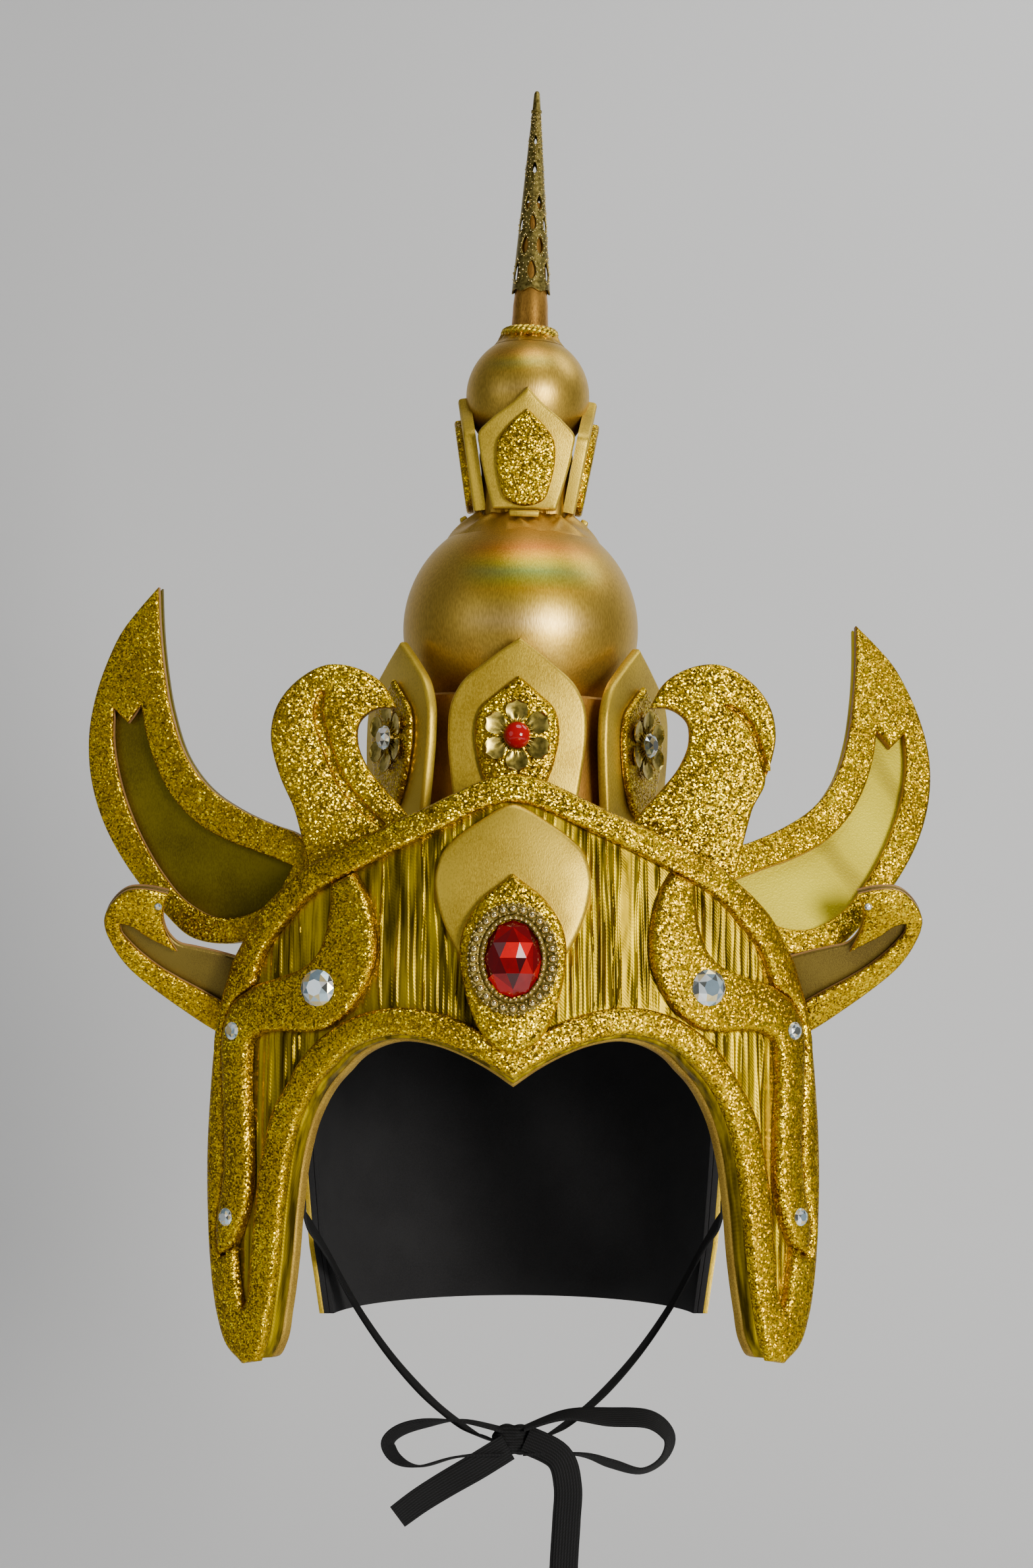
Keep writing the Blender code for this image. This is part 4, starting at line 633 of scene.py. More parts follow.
# how deep the middle of the bow lies, from the backing's front on the middle line
visorMiddle = visor["bowDepth"] + visor["backingWall"] + min(
    v.co.y for v in nodes["visor_backing"].data.vertices
    if abs(v.co.x) < visor["middleHalf"] and v.co.z < visor["belowDome"])


def sineAt(x, reach):
    sine = max(-visor["mostSine"], min(visor["mostSine"], x / reach))
    return sine, math.sqrt(1 - sine * sine)


def visorLean(z):
    share = max(0.0, (z - visor["browPoint"]) / (visor["peak"] - visor["browPoint"]))
    return visor["leanBack"] * share * share


def visorPlace(x, z, depth):
    sine, cosine = sineAt(x, visor["bowWidth"] + visor["trimFront"])
    return Vector(((visor["bowWidth"] + depth) * sine,
                   visorMiddle - (visor["bowDepth"] + depth) * cosine + visorLean(z), z))


def seenPlace(point):
    # the place of a point on the visor as seen from the front, once its depth is found in a few steps
    depth = visor["firstDepth"]
    for _ in range(visor["depthSteps"]):
        sine, cosine = sineAt(point[0], visor["bowWidth"] + depth)
        slope = cosine + (visor["bowDepth"] + depth) * sine**2 / (cosine * (visor["bowWidth"] + depth))
        depth += (visorMiddle + visorLean(point[2]) - (visor["bowDepth"] + depth) * cosine - point[1]) / slope
    return sine * (visor["bowWidth"] + visor["trimFront"]), point[2]


def visorNormal(point):
    sine, cosine = sineAt(point[0], visor["bowWidth"])
    return Vector((sine / visor["bowWidth"], -cosine / visor["bowDepth"], 0)).normalized()


def makeVisor():
    for name, (back, front, rim, material) in visorLayers.items():
        bm = cleanCopy(name)
        chains = rims(bm, lambda f: f.normal.dot(visorNormal(f.calc_center_median())) > visor["facing"])
        bm.free()
        loops = [smoothLoop([seenPlace(p) for p in chain], visor["step"]) for chain in chains]
        visorOutlines[name] = [loop for loop in loops if abs(loopArea(loop)) > visor["least"] ** 2]
        bm = bmesh.new()
        roundedPlate(bm, visorOutlines[name], visorPlace, back * mm, front * mm, visor[rim], visor["grid"])
        finishPiece(name.replace("_", "") + "Cover", bm, [material], [name])
    print("stage: visor made")


pleats = {"step": 0.38 * mm, "rowStep": 1.4 * mm, "closest": 0.7 * mm, "widest": 3.4 * mm, "low": 0.25 * mm,
          "high": 1.35 * mm, "width": (0.35, 0.85), "wave": (25, 60), "slant": (-2.5, 2.5), "sway": 0.6 * mm,
          "seed": 7, "hem": 1.6 * mm, "lift": 0.14 * mm, "crinkle": 0.09 * mm, "crinkleScale": (520, 160),
          # how much and how often the folds sway and swell, how far they slant, and their two sides' steepness
          "ripple": (0.4, 3.1), "swell": (0.62, 0.38, 2.3), "slanting": 0.012, "steep": (3.0, 0.8),
          "reach": 121 * mm, "foot": -198 * mm, "top": 32 * mm, "ground": 10.3 * mm, "edge": 3.0 * mm,
          "tucked": 1.2 * mm, "tuckedEdge": 2.5 * mm, "cloth": (240 * mm, 140 * mm)}


def makePleats():
    rng = random.Random(pleats["seed"])
    ends = pleats["reach"] + 3 * mm
    folds, at = [], -ends
    while at < ends:
        at += rng.uniform(pleats["closest"], pleats["widest"])
        folds.append((at, rng.uniform(*pleats["width"]) * mm, rng.uniform(pleats["low"], pleats["high"]),
                      rng.uniform(0, 6.28), rng.uniform(*pleats["wave"]), rng.uniform(*pleats["slant"])))
    xs = np.arange(-pleats["reach"], pleats["reach"], pleats["step"])
    zs = np.arange(pleats["foot"], pleats["top"], pleats["rowStep"])
    gx, gz = np.meshgrid(xs, zs)
    points = np.stack([gx.ravel(), gz.ravel()], 1)
    plate = visorOutlines["visor_plate"]
    cover = [visorOutlines[name] for name in list(visorLayers)[2:]]
    fromEdge = nearLoops(points, plate)
    onPlate = insideLoops(points, plate)
    uncovered = onPlate & (fromEdge > pleats["edge"])
    for loops in cover:
        uncovered &= ~insideLoops(points, loops)
    reach = nearLoops(points, [loop for loops in cover for loop in loops])
    used = (uncovered | (reach < pleats["tucked"])) & onPlate & (fromEdge > pleats["tuckedEdge"])
    fade = np.where(uncovered, np.clip(reach / pleats["hem"], 0, 1), 0.0).reshape(gx.shape)
    height = np.zeros(gx.shape)
    (ripple, often), (mean, spread, swelling) = pleats["ripple"], pleats["swell"]
    for at, width, tall, phase, wave, slant in folds:
        bend = np.sin(phase + gz * wave) + ripple * np.sin(phase * 3 + gz * wave * often)
        centre = at + pleats["sway"] * bend + slant * (gz + 0.05) * pleats["slanting"]
        swell = mean + spread * np.sin(phase * 2 + gz * wave * swelling)
        off = (gx - centre) / width
        height = np.maximum(height, tall * swell * np.exp(-off * off * np.where(off > 0, *pleats["steep"])))
    across, down = pleats["crinkleScale"]
    crinkle = np.array([[noise.noise((x * across, z * down, 0.0)) for x in xs] for z in zs])
    height = height * fade + pleats["lift"] + pleats["crinkle"] * crinkle * fade
    bm = bmesh.new()
    verts = {}
    mask = used.reshape(gx.shape)
    for j in range(len(zs) - 1):
        for i in range(len(xs) - 1):
            corners = ((j, i), (j, i + 1), (j + 1, i + 1), (j + 1, i))
            if all(mask[c] for c in corners):
                for c in corners:
                    if c not in verts:
                        verts[c] = bm.verts.new(visorPlace(gx[c], gz[c], pleats["ground"] + height[c]))
                bm.faces.new([verts[c] for c in corners])
    made = finishPiece("pleatedPanels", bm, ["pleatedCloth"], angle=80)


makeVisor()
makePleats()

# Flat plates: crests, horns, ear wings, petals

plates = {"edge": 1.1 * mm, "cloth": 1.5 * mm, "petal": 1.7 * mm, "inset": 1.9 * mm, "step": 1.5 * mm,
          "smallStep": 1.2 * mm, "least": 2 * mm, "slotDepth": 3.2 * mm, "slotWider": 0.85 * mm, "crest": 1.3 * mm,
          "smallDip": 2.0 * mm, "smallBack": 2.3 * mm, "smallRise": 0.9 * mm, "smallOverlap": 0.2 * mm,
          "small": 1.3 * mm, "facing": 0.9, "level": 0.1 * mm, "smallLevel": 0.3 * mm, "backShare": 0.6,
          "crestBackShare": 0.7, "crestStep": 0.02 * mm}


def flatFrame(name, hint):
    # a copy of the piece, the way it faces, how deep its back and front lie, and two functions: place
    # lays a point of its plane in space, and flatten makes loops in its plane of the rims it is asked for
    bm = cleanCopy(name)
    along, up, out = axesOf(bm, Vector(hint), 0.75)
    back, front = spanOf(bm, out)

    def place(a, b, depth):
        return along * a + up * b + out * depth

    def flatten(isWanted, step, corner):
        chains = rims(bm, isWanted)
        return [(smoothLoop([(p.dot(along), p.dot(up)) for p in chain], step, corner), chain[0].dot(out))
                for chain in chains]

    return bm, out, back, front, place, flatten


def flatPiece(name, hint, radius, materials, corner=outline["corner"], build=None):
    # a second material is for the side wall
    bm, out, back, front, place, flatten = flatFrame(name, hint)
    ahead, rear = (
        flatten(lambda f: f.normal.dot(out) * side > plates["facing"]
                and (f.calc_center_median().dot(out) - end) * side > -plates["level"], plates["step"], corner)
        for side, end in ((1, front), (-1, back)))
    loops = [loop for loop, height in ahead if abs(loopArea(loop)) > plates["least"] ** 2]
    made = bmesh.new()
    if build:
        build(made, loops, [loop for loop, height in rear], place, back, front)
    else:
        roundedPlate(made, loops, place, back, front, radius, backRadius=radius * plates["backShare"],
                     sideSlot=1 if len(materials) > 1 else None)
    bm.free()
    finishPiece(name.replace("_", "") + "Cover", made, materials, [name])


def crestWithSlot(bm, loops, behind, place, back, front):
    outer = loops[largest(loops)]
    slots = [loop - loopNormals(loop, True) * plates["slotWider"] for loop in loops if loop is not outer]
    level = front - plates["slotDepth"]
    roundedPlate(bm, [behind[largest(behind)]], place, back, level, plates["crestStep"], steps=1,
                 backRadius=plates["crest"] * plates["crestBackShare"])
    roundedPlate(bm, [outer] + slots, place, level, front, plates["crest"])


def makeWings():
    ahead, down = (0, -1, 0), (0, -0.9, -0.42)
    # the left horn gets the darker cloth: painted shade
    for word, satin in (("left", "oliveSatin"), ("right", "wovenPanel")):
        flatPiece("crest_" + word, ahead, 0, ["glitterGold"], build=crestWithSlot)
        flatPiece("horn_frame_" + word, ahead, plates["edge"], ["glitterGold", "foamEdge"])
        flatPiece("horn_" + word, ahead, plates["cloth"], [satin])
        flatPiece("ear_wing_frame_" + word, down, plates["edge"], ["glitterGold", "foamEdge"])
        flatPiece("ear_wing_" + word, down, plates["edge"], ["wingSatin", "foamEdge"])
    print("stage: crests, horns and ear wings made")


tower = {"lean": math.radians(1.75), "ballRadius": 50 * mm, "ballHeight": 99.7 * mm, "smallBallRadius": 26.4 * mm,
         "smallBallHeight": 200.4 * mm}
towerLean = Matrix.Rotation(tower["lean"], 4, "Y")


def towerSide(name):
    middle = boxMiddle(name)
    return Vector((middle.x - math.tan(tower["lean"]) * middle.z, middle.y, 0)).normalized()


def makePetals():
    for k in range(1, 7):
        out = towerSide("petal_%d" % k)
        flatPiece("petal_%d" % k, out, plates["petal"], ["champagneCloth"], outline["softCorner"])
        flatPiece("petal_inset_%d" % k, out, plates["inset"], ["glitterGold"], outline["softCorner"])
    for k in range(1, 5):
        name = "small_petal_%d" % k
        bm, out, back, front, place, flatten = flatFrame(name, towerSide(name))
        found = flatten(lambda f: f.normal.dot(out) > plates["facing"], plates["smallStep"], outline["softCorner"])
        bm.free()
        petal = [loop for loop, height in found]
        inset = [loop for loop, height in found if height > front - plates["smallLevel"]]
        level = front - plates["smallDip"]
        made = bmesh.new()
        roundedPlate(made, [petal[largest(petal)]], place, back - plates["smallBack"], level, plates["small"])
        roundedPlate(made, [inset[largest(inset)]], place, level - plates["smallOverlap"],
                     front + plates["smallRise"], plates["small"], slot=1)
        finishPiece("smallPetalCover%d" % k, made, ["champagneCloth", "glitterGold"], [name])
    print("stage: petals made")


def makeBall(name, node, word, paintedSheen):
    radius, height = tower[word + "Radius"], tower[word + "Height"]
    palette[word + "Satin"] = ballMaterial(word + "Satin", height, radius, paintedSheen)
    bm = bmesh.new()
    bmesh.ops.create_uvsphere(bm, u_segments=96, v_segments=64, radius=radius)
    bmesh.ops.transform(bm, matrix=towerLean @ Matrix.Translation((0, 0, height)), verts=bm.verts)
    finishPiece(name, bm, [word + "Satin"], [node], angle=80)


makeWings()
makePetals()
# the last number is how strongly the painted rainbow sheen shows
makeBall("ballCover", "ball", "ball", 0.85)
makeBall("smallBallCover", "small_ball", "smallBall", 0.35)

# Rows of beads, laid by Geometry Nodes on points that say which way they face

beadRows = {"seed": 11, "uneven": 0.05, "sharp": 60.0}


def makeBeadGroup():
    group = bpy.data.node_groups.new("beadRow", "GeometryNodeTree")
    for word, kind in (("Geometry", "Geometry"), ("Bead", "Object"), ("Material", "Material"), ("Uneven", "Float"),
                       ("Seed", "Int")):
        group.interface.new_socket(word, in_out="INPUT", socket_type="NodeSocket" + kind)
    group.interface.new_socket("Geometry", in_out="OUTPUT", socket_type="NodeSocketGeometry")
    given = addNode(group, "NodeGroupInput")
    bead = addNode(group, "GeometryNodeObjectInfo", "Geometry", {"Object": given["Bead"]})
    facing, size = (addNode(group, "GeometryNodeInputNamedAttribute", "Attribute", {"Name": word}, data_type=kind)
                    for word, kind in (("facing", "FLOAT_VECTOR"), ("size", "FLOAT")))
    turn = addNode(group, "FunctionNodeAlignRotationToVector", "Rotation", {"Vector": facing}, axis="Z")
    # 2 and 3 are the least and the most, 1 is the number drawn
    chance = addNode(group, "FunctionNodeRandomValue", 1,
                     {"Seed": given["Seed"], 2: sums(group, "SUBTRACT", 1.0, given["Uneven"]),
                      3: sums(group, "ADD", 1.0, given["Uneven"])}, data_type="FLOAT")
    laid = addNode(group, "GeometryNodeInstanceOnPoints", "Instances",
                   {"Points": given["Geometry"], "Instance": bead, "Rotation": turn,
                    "Scale": sums(group, "MULTIPLY", size, chance)})
    real = addNode(group, "GeometryNodeRealizeInstances", "Geometry", {"Geometry": laid})
    coloured = addNode(group, "GeometryNodeSetMaterial", "Geometry", {"Geometry": real, "Material": given["Material"]})
    addNode(group, "NodeGroupOutput", None, {"Geometry": coloured})
    return group


beadGroup = makeBeadGroup()


def layBeads(name, spots, subdivisions, material):
    # a bead at each spot, given as place, the way it faces and its size
    bm = bmesh.new()
    bmesh.ops.create_icosphere(bm, subdivisions=subdivisions, radius=1.0)
    bmesh.ops.recalc_face_normals(bm, faces=bm.faces)
    bead = bpy.data.objects.new(name + "Shape", meshOf(name + "Shape", bm))
    mesh = bpy.data.meshes.new(name)
    mesh.from_pydata([tuple(place) for place, facing, size in spots], [], [])
    mesh.attributes.new("facing", "FLOAT_VECTOR", "POINT")
    mesh.attributes.new("size", "FLOAT", "POINT")
    mesh.attributes["facing"].data.foreach_set("vector", [c for spot in spots for c in spot[1]])
    mesh.attributes["size"].data.foreach_set("value", [spot[2] for spot in spots])
    made = addObject(name, mesh)
    step = made.modifiers.new("beads", "NODES")
    step.node_group = beadGroup
    values = {"Bead": bead, "Material": palette[material], "Uneven": beadRows["uneven"], "Seed": beadRows["seed"]}
    for item in beadGroup.interface.items_tree:
        if item.item_type == "SOCKET" and item.in_out == "INPUT" and item.name in values:
            step[item.identifier] = values[item.name]
    made.data = applied(made)
    bpy.data.meshes.remove(mesh)
    made.data.shade_smooth()
    made.data.set_sharp_from_angle(angle=math.radians(beadRows["sharp"]))
    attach(made, "root")


# Stones

# the facets' tones are painted reflections, and glint aims the red stone's painted highlight
gemLook = {"redSides": 12, "clearSides": 16, "girdle": 0.16, "seed": 5, "peak": 0.10, "peakAside": 0.10,
           "redReflectionTones": (0.0, 0.12, 0.25, 0.38, 0.5, 0.68), "clearReflectionTones": (0.05, 0.25, 0.5, 0.7, 0.85, 1.0),
           "kites": (0.80, 0.62), "table": (0.46, 0.93), "glint": (0.8, 0.5, 0.0), "glintReach": 0.36}
# the small stones at the tips of the ear wings' hooks, which are in the scene alone
earStone = {"radius": 1.5 * mm, "rise": 1.2 * mm, "aside": 139.2 * mm, "depth": -84.0 * mm, "height": -19.9 * mm,
            "faces": (0.0, -0.906, -0.423)}


def cutGem(bm, rx, ry, rise, sides, peak):
    # girdle, kites and crown facets round a table; peak raises the middle of the table
    half = sides // 2
    rings = [[bm.verts.new((rx * share * math.cos(a), ry * share * math.sin(a), rise * height))
              for a in around(count, shift)]
             for share, height, shift, count in ((1.0, 0.0, 0.0, sides), (1.0, gemLook["girdle"], 0.0, sides),
                                                 (*gemLook["kites"], 0.5, half), (*gemLook["table"], 0.0, half))]
    foot, girdle, kite, top = rings
    bm.faces.new(list(reversed(foot)))
    ringsToFaces(bm, [foot, girdle], closed=False)
    for i in range(half):
        j, far = (i + 1) % half, girdle[(2 * i + 2) % sides]
        for corners in ((girdle[2 * i], girdle[2 * i + 1], kite[i]), (girdle[2 * i + 1], far, kite[i]),
                        (far, kite[j], kite[i]), (kite[i], kite[j], top[j]), (kite[i], top[j], top[i])):
            bm.faces.new(corners)
    if peak:
        middle = bm.verts.new((rx * gemLook["peakAside"], 0, rise * (gemLook["table"][1] + peak)))
        for i in range(half):
            bm.faces.new((top[i], top[(i + 1) % half], middle))
    else:
        bm.faces.new(top)


def makeGem(name, half, peak, seed, pose, material="clearStone", replaced=()):
    bm = bmesh.new()
    cutGem(bm, half[0], half[1], half[2] * 2, gemLook["redSides" if peak else "clearSides"], peak)
    bmesh.ops.recalc_face_normals(bm, faces=bm.faces)
    # each facet has one tone, a painted reflection; on a peaked stone the one that looks to the light most is the
    # brightest, a painted highlight
    layer = bm.loops.layers.float_color.new("tone")
    bm.normal_update()
    rng = random.Random(gemLook["seed"] + seed)
    tones = {face: rng.choice(gemLook["redReflectionTones" if peak else "clearReflectionTones"]) for face in bm.faces}
    if peak:
        reach = max(v.co.y for v in bm.verts) * gemLook["glintReach"]
        upper = [f for f in bm.faces if f.calc_center_median().xy.length < reach and f.normal.z > 0]
        tones[max(upper, key=lambda face: face.calc_center_median().dot(Vector(gemLook["glint"])))] = 1.0
    for face in bm.faces:
        for loop in face.loops:
            loop[layer] = (tones[face], tones[face], tones[face], 1.0)
    bmesh.ops.transform(bm, matrix=pose, verts=bm.verts)
    finishPiece(name, bm, [material], replaced, smooth=False)


def poseOf(name, hint):
    # a frame at the back of a flat-backed piece: X across, Y up and Z outwards, and its half sizes
    bm = cleanCopy(name)
    axes = axesOf(bm, hint, 0.8, -1)
    spans = [spanOf(bm, axis) for axis in axes]
    bm.free()
    along, up, out = axes
    middle = [(low + high) / 2 for low, high in spans]
    pose = Matrix(axes).transposed().to_4x4()
    pose.translation = along * middle[0] + up * middle[1] + out * spans[2][0]
    return pose, [(high - low) / 2 for low, high in spans]


def visorPose(name):
    return poseOf(name, visorNormal(boxMiddle(name)))


def makeStones():
    for word in ("left", "right"):
        for stone in ("brow_stone", "temple_stone", "flap_stone"):
            name, node = stone.replace("_s", "S") + word.title(), stone + "_" + word
            pose, half = visorPose(node)
            makeGem(name, half, 0.0, len(name), pose, replaced=[node])
    pose, half = visorPose("jewel_stone")
    makeGem("jewelStone", half, gemLook["peak"], len("jewelStone"), pose, "redStone", ["jewel_stone"])
    half = (earStone["radius"], earStone["radius"], earStone["rise"] / 2)
    lean = Vector(earStone["faces"]).to_track_quat("Z", "Y").to_matrix().to_4x4()
    for side, word in ((-1, "Left"), (1, "Right")):
        place = Matrix.Translation((side * earStone["aside"], earStone["depth"], earStone["height"])) @ lean
        makeGem("earStone" + word, half, 0.0, side, place)
    print("stage: stones cut")


bezel = {"segments": 144, "plateRise": 1.3 * mm, "lobe": 0.35 * mm, "edge": 0.6 * mm, "gap": 0.25 * mm, "lobes": 28,
         # share of the way from the stone to the rim, and height as a share of the rise
         "profile": ((0.0, 0.0), (1.0, 0.0), (1.0, 0.6), (0.9, 1.0), (0.35, 0.8), (0.22, 1.4), (0.0, 1.4)),
         # name: the oval it follows, how far out of it, count, height, size, turn, subdivisions, material
         "rows": {"bezelStones": ("middle", 0.0, 28, 1.7, 1.42, 0.0, 2, "studBrass"),
                  "bezelInner": ("inner", 0.5, 42, 1.9, 0.82, 0.0, 1, "paleBrass"),
                  "bezelRim": ("outer", 0.0, 56, 1.0, 0.62, 0.0, 1, "paleBrass"),
                  "bezelClaws": ("middle", -1.6, 28, 2.0, 0.50, 0.5, 1, "paleBrass"),
                  "bezelOuterClaws": ("middle", 1.2, 28, 2.0, 0.50, 0.5, 1, "paleBrass")},
         "middleOut": 0.9 * mm}


def ovalSpots(pose, oval, out, count, height, size, turn):
    rx, ry = (half + out * mm for half in oval)
    angles = np.linspace(0, fullTurn, 721)
    lengths = np.concatenate([[0], np.cumsum(np.hypot(np.diff(rx * np.cos(angles)), np.diff(ry * np.sin(angles))))])
    spots = []
    for k in range(count):
        angle = float(np.interp((k + turn) / count * lengths[-1] % lengths[-1], lengths, angles))
        spots.append((pose @ Vector((rx * math.cos(angle), ry * math.sin(angle), height * mm)),
                      pose.to_3x3() @ Vector((0, 0, 1)), size * mm))
    return spots


def makeBezel():
    pose, half = visorPose("jewel_bezel")
    outer = [side - bezel["edge"] for side in half[:2]]
    inner = [side + bezel["gap"] for side in visorPose("jewel_stone")[1][:2]]
    middle = [(a + b) / 2 + bezel["middleOut"] for a, b in zip(inner, outer)]

    def onBezel(angle, share, height):
        lobe = bezel["lobe"] * math.cos(bezel["lobes"] * angle) * (share > 0.8)
        wide, tall = (a * (1 - share) + (b + lobe) * share for a, b in zip(inner, outer))
        return pose @ Vector((wide * math.cos(angle), tall * math.sin(angle), height * bezel["plateRise"]))

    bm = bmesh.new()
    ringsToFaces(bm, makeRings(bm, bezel["profile"], bezel["segments"], onBezel))
    finishPiece("jewelBezel", bm, ["oldBrass"], ["jewel_bezel"])
    ovals = {"inner": inner, "middle": middle, "outer": outer}
    for name, (oval, out, count, height, size, turn, subdivisions, material) in bezel["rows"].items():
        layBeads(name, ovalSpots(pose, ovals[oval], out, count, height, size, turn), subdivisions, material)
    print("stage: bezel made")


# Flowers: six spoon petals with ribs, a ring of claws and a bead

flower = {"petals": 6, "reach": 14.4 * mm, "hub": 4.0 * mm, "halfWidth": 4.45 * mm, "cup": 1.7 * mm,
          "wall": 0.4 * mm, "ribs": 0.35 * mm, "bead": 5.5 * mm, "beadFoot": 0.92, "beadFlat": 0.9,
          "beadLift": 1.5 * mm, "claws": 24, "clawReach": 8.2 * mm, "clawHalf": 0.22 * mm, "clawRise": 1.5 * mm,
          "hubRise": 1.6 * mm, "stoneHalfRise": 1.6 * mm, "rows": 14, "columns": 12, "widest": 0.6,
          "leastHalf": 0.05 * mm, "root": 0.36, "ribEnd": 0.55, "dishSide": 0.35, "dishEnd": 1.43}


def spoonPetal(bm, turn):
    rows, columns, widest = flower["rows"], flower["columns"], flower["widest"]
    skins = []
    for lift in (0.0, flower["wall"]):
        grid = []
        for v in (j / rows for j in range(rows + 1)):
            radius = flower["hub"] + (flower["reach"] - flower["hub"]) * v
            if v < widest:
                grown = math.sin(math.pi / 2 * v / widest) ** 1.3
                half = flower["halfWidth"] * (flower["root"] + (1 - flower["root"]) * grown)
            else:
                share = (v - widest) / (1 - widest)
                half = flower["halfWidth"] * math.sqrt(max(0.0, 1 - share ** 2)) + flower["leastHalf"]
            line = []
            for u in (2 * i / columns - 1 for i in range(columns + 1)):
                ribs = flower["ribs"] * math.cos(3 * math.pi * u) * max(0.0, 1 - v / flower["ribEnd"])
                dish = flower["cup"] * (flower["dishSide"] * u * u * min(1.0, v * 2)
                                        + flower["dishEnd"] * max(0.0, v - 0.45) ** 1.5)
                line.append(bm.verts.new(turn @ Vector((u * half, radius, lift + ribs + dish))))
            grid.append(line)
        skins.append(grid)
    under, over = skins
    for j in range(rows):
        for i in range(columns):
            bm.faces.new((over[j][i], over[j][i + 1], over[j + 1][i + 1], over[j + 1][i]))
            bm.faces.new((under[j][i], under[j + 1][i], under[j + 1][i + 1], under[j][i + 1]))
    rim = [(0, i) for i in range(columns)] + [(j, columns) for j in range(rows)]
    rim += [(rows, i) for i in range(columns, 0, -1)] + [(j, 0) for j in range(rows, 0, -1)]
    for (a, b), (c, d) in zip(rim, rim[1:] + rim[:1]):
        bm.faces.new((under[a][b], under[c][d], over[c][d], over[a][b]))


def flowerMetal():
    bm = bmesh.new()
    for angle in around(flower["petals"]):
        spoonPetal(bm, Matrix.Rotation(angle, 4, "Z"))
    level = Vector((0, 0, flower["clawRise"]))
    for k, angle in enumerate(around(flower["claws"], 0.5)):
        run = Vector((math.cos(angle), math.sin(angle), 0))
        side = Vector((-run.y, run.x, 0)) * flower["clawHalf"]
        start, end = run * flower["hub"] * 0.9, run * flower["clawReach"] * (1.0 if k % 2 else 0.85)
        a, b, c, d, e, f, g = (bm.verts.new(p) for p in (
            start - side, start + side, end + side * 0.4, end - side * 0.4, start - side + level,
            start + side + level, end + level * 0.55))
        for face in ((a, b, c, d), (a, e, f, b), (e, g, f), (b, f, g, c), (d, g, e, a), (c, g, d)):
            bm.faces.new(face)
    hub = bmesh.ops.create_cone(bm, cap_ends=True, segments=36, radius1=flower["hub"] * 1.25,
                                radius2=flower["bead"] * flower["beadFoot"], depth=flower["hubRise"])
    bmesh.ops.translate(bm, vec=(0, 0, flower["hubRise"] / 2), verts=hub["verts"])
    bmesh.ops.recalc_face_normals(bm, faces=bm.faces)
    return meshOf("flowerMetal", bm)


def makeFlowers():
    metal = flowerMetal()
    for k in range(1, 7):
        name = "flower_%d" % k
        pose, half = poseOf(name, towerSide(name))
        bm = bmesh.new()
        bm.from_mesh(metal)
        bmesh.ops.transform(bm, matrix=pose, verts=bm.verts)
        finishPiece("flowerMetal%d" % k, bm, ["flowerBrass"], [name])
        if k == 1:     # the front flower has a smooth red bead, the others a cut clear one
            bm = bmesh.new()
            bmesh.ops.create_uvsphere(bm, u_segments=40, v_segments=24, radius=flower["bead"])
            bmesh.ops.scale(bm, vec=(1, 1, flower["beadFlat"]), verts=bm.verts)
            bmesh.ops.translate(bm, vec=(0, 0, flower["beadLift"]), verts=bm.verts)
            bmesh.ops.transform(bm, matrix=pose, verts=bm.verts)
            finishPiece("flowerBead1", bm, ["redBead"])
        else:
            radius = flower["bead"] * flower["beadFoot"]
            makeGem("flowerBead%d" % k, (radius, radius, flower["stoneHalfRise"]), 0.0, k,
                    pose @ Matrix.Translation((0, 0, flower["hubRise"])))
    print("stage: flowers made")


makeStones()
makeBezel()
makeFlowers()

# Tower: drum, collar, neck, braid and spire

turned = {"drumRadius": 53.2 * mm, "drumTop": 68 * mm, "drumLip": 39.2 * mm, "drumWall": 4.8 * mm,
          "drumFoot": 20 * mm, "drumEdge": 1 * mm, "drumSides": 96, "cupRadius": 17.6 * mm, "cupTop": 181.0 * mm,
          "cupMiddle": 168 * mm, "cupFlare": 2.6 * mm, "skirtRadius": 33.0 * mm, "skirtWall": 1.2 * mm,
          "skirtEdge": 0.9 * mm, "skirtLift": 0.25 * mm, "skirtSunk": 0.6 * mm, "skirtSteps": 22,
          "collarSides": 288, "tuck": 0.45 * mm, "gatherRise": 1.9 * mm, "gathers": 15, "gatherShift": 0.35,
          "cupSquare": 5.0, "seed": 3, "shelf": 149.2 * mm,
          # the long folds down each side of the front: angle, slant and height
          "folds": ((-0.62, 0.42, 1.5), (-0.98, 0.30, 0.9), (-1.22, -0.14, 0.6)), "foldWidth": 0.095,
          "strap": (12.7 * mm, 3.2 * mm, 2.4 * mm), "strapPlace": (0, -25.6 * mm, 145.9 * mm), "strapTilt": 30,
          "strapRound": 0.8 * mm, "neckSides": 64,
          # reach and height in mm, up to the core inside the spire
          "neck": ((4.1, 227.1), (8.2, 227.1), (7.954, 231.1), (7.626, 236.1), (7.544, 240.1), (7.0, 244.9),
                   (6.5, 249.5), (3.9, 284.5), (0.8, 285.1)),
          "ruffleSides": 144, "ruffleDip": 3.4 * mm, "dipFrom": 226, "ruffleWaves": (7, 11, 16),
          # reach and height in mm, and how far the waves show
          "ruffle": ((15.5, 221.9, 0.0), (13.2, 224.0, 0.6), (11.6, 226.6, 1.0), (10.8, 228.9, 1.0),
                     (10.0, 229.2, 1.0), (9.2, 227.8, 0.6), (8.5, 226.2, 0.0), (8.4, 224.4, 0.0))}
dome = {"halfWidth": 92 * mm, "front": 103 * mm, "back": 106 * mm, "widest": -76 * mm, "top": 7.4 * mm}


def towerPoint(angle, reach, height):
    return towerLean @ Vector((reach * math.cos(angle), reach * math.sin(angle), height))


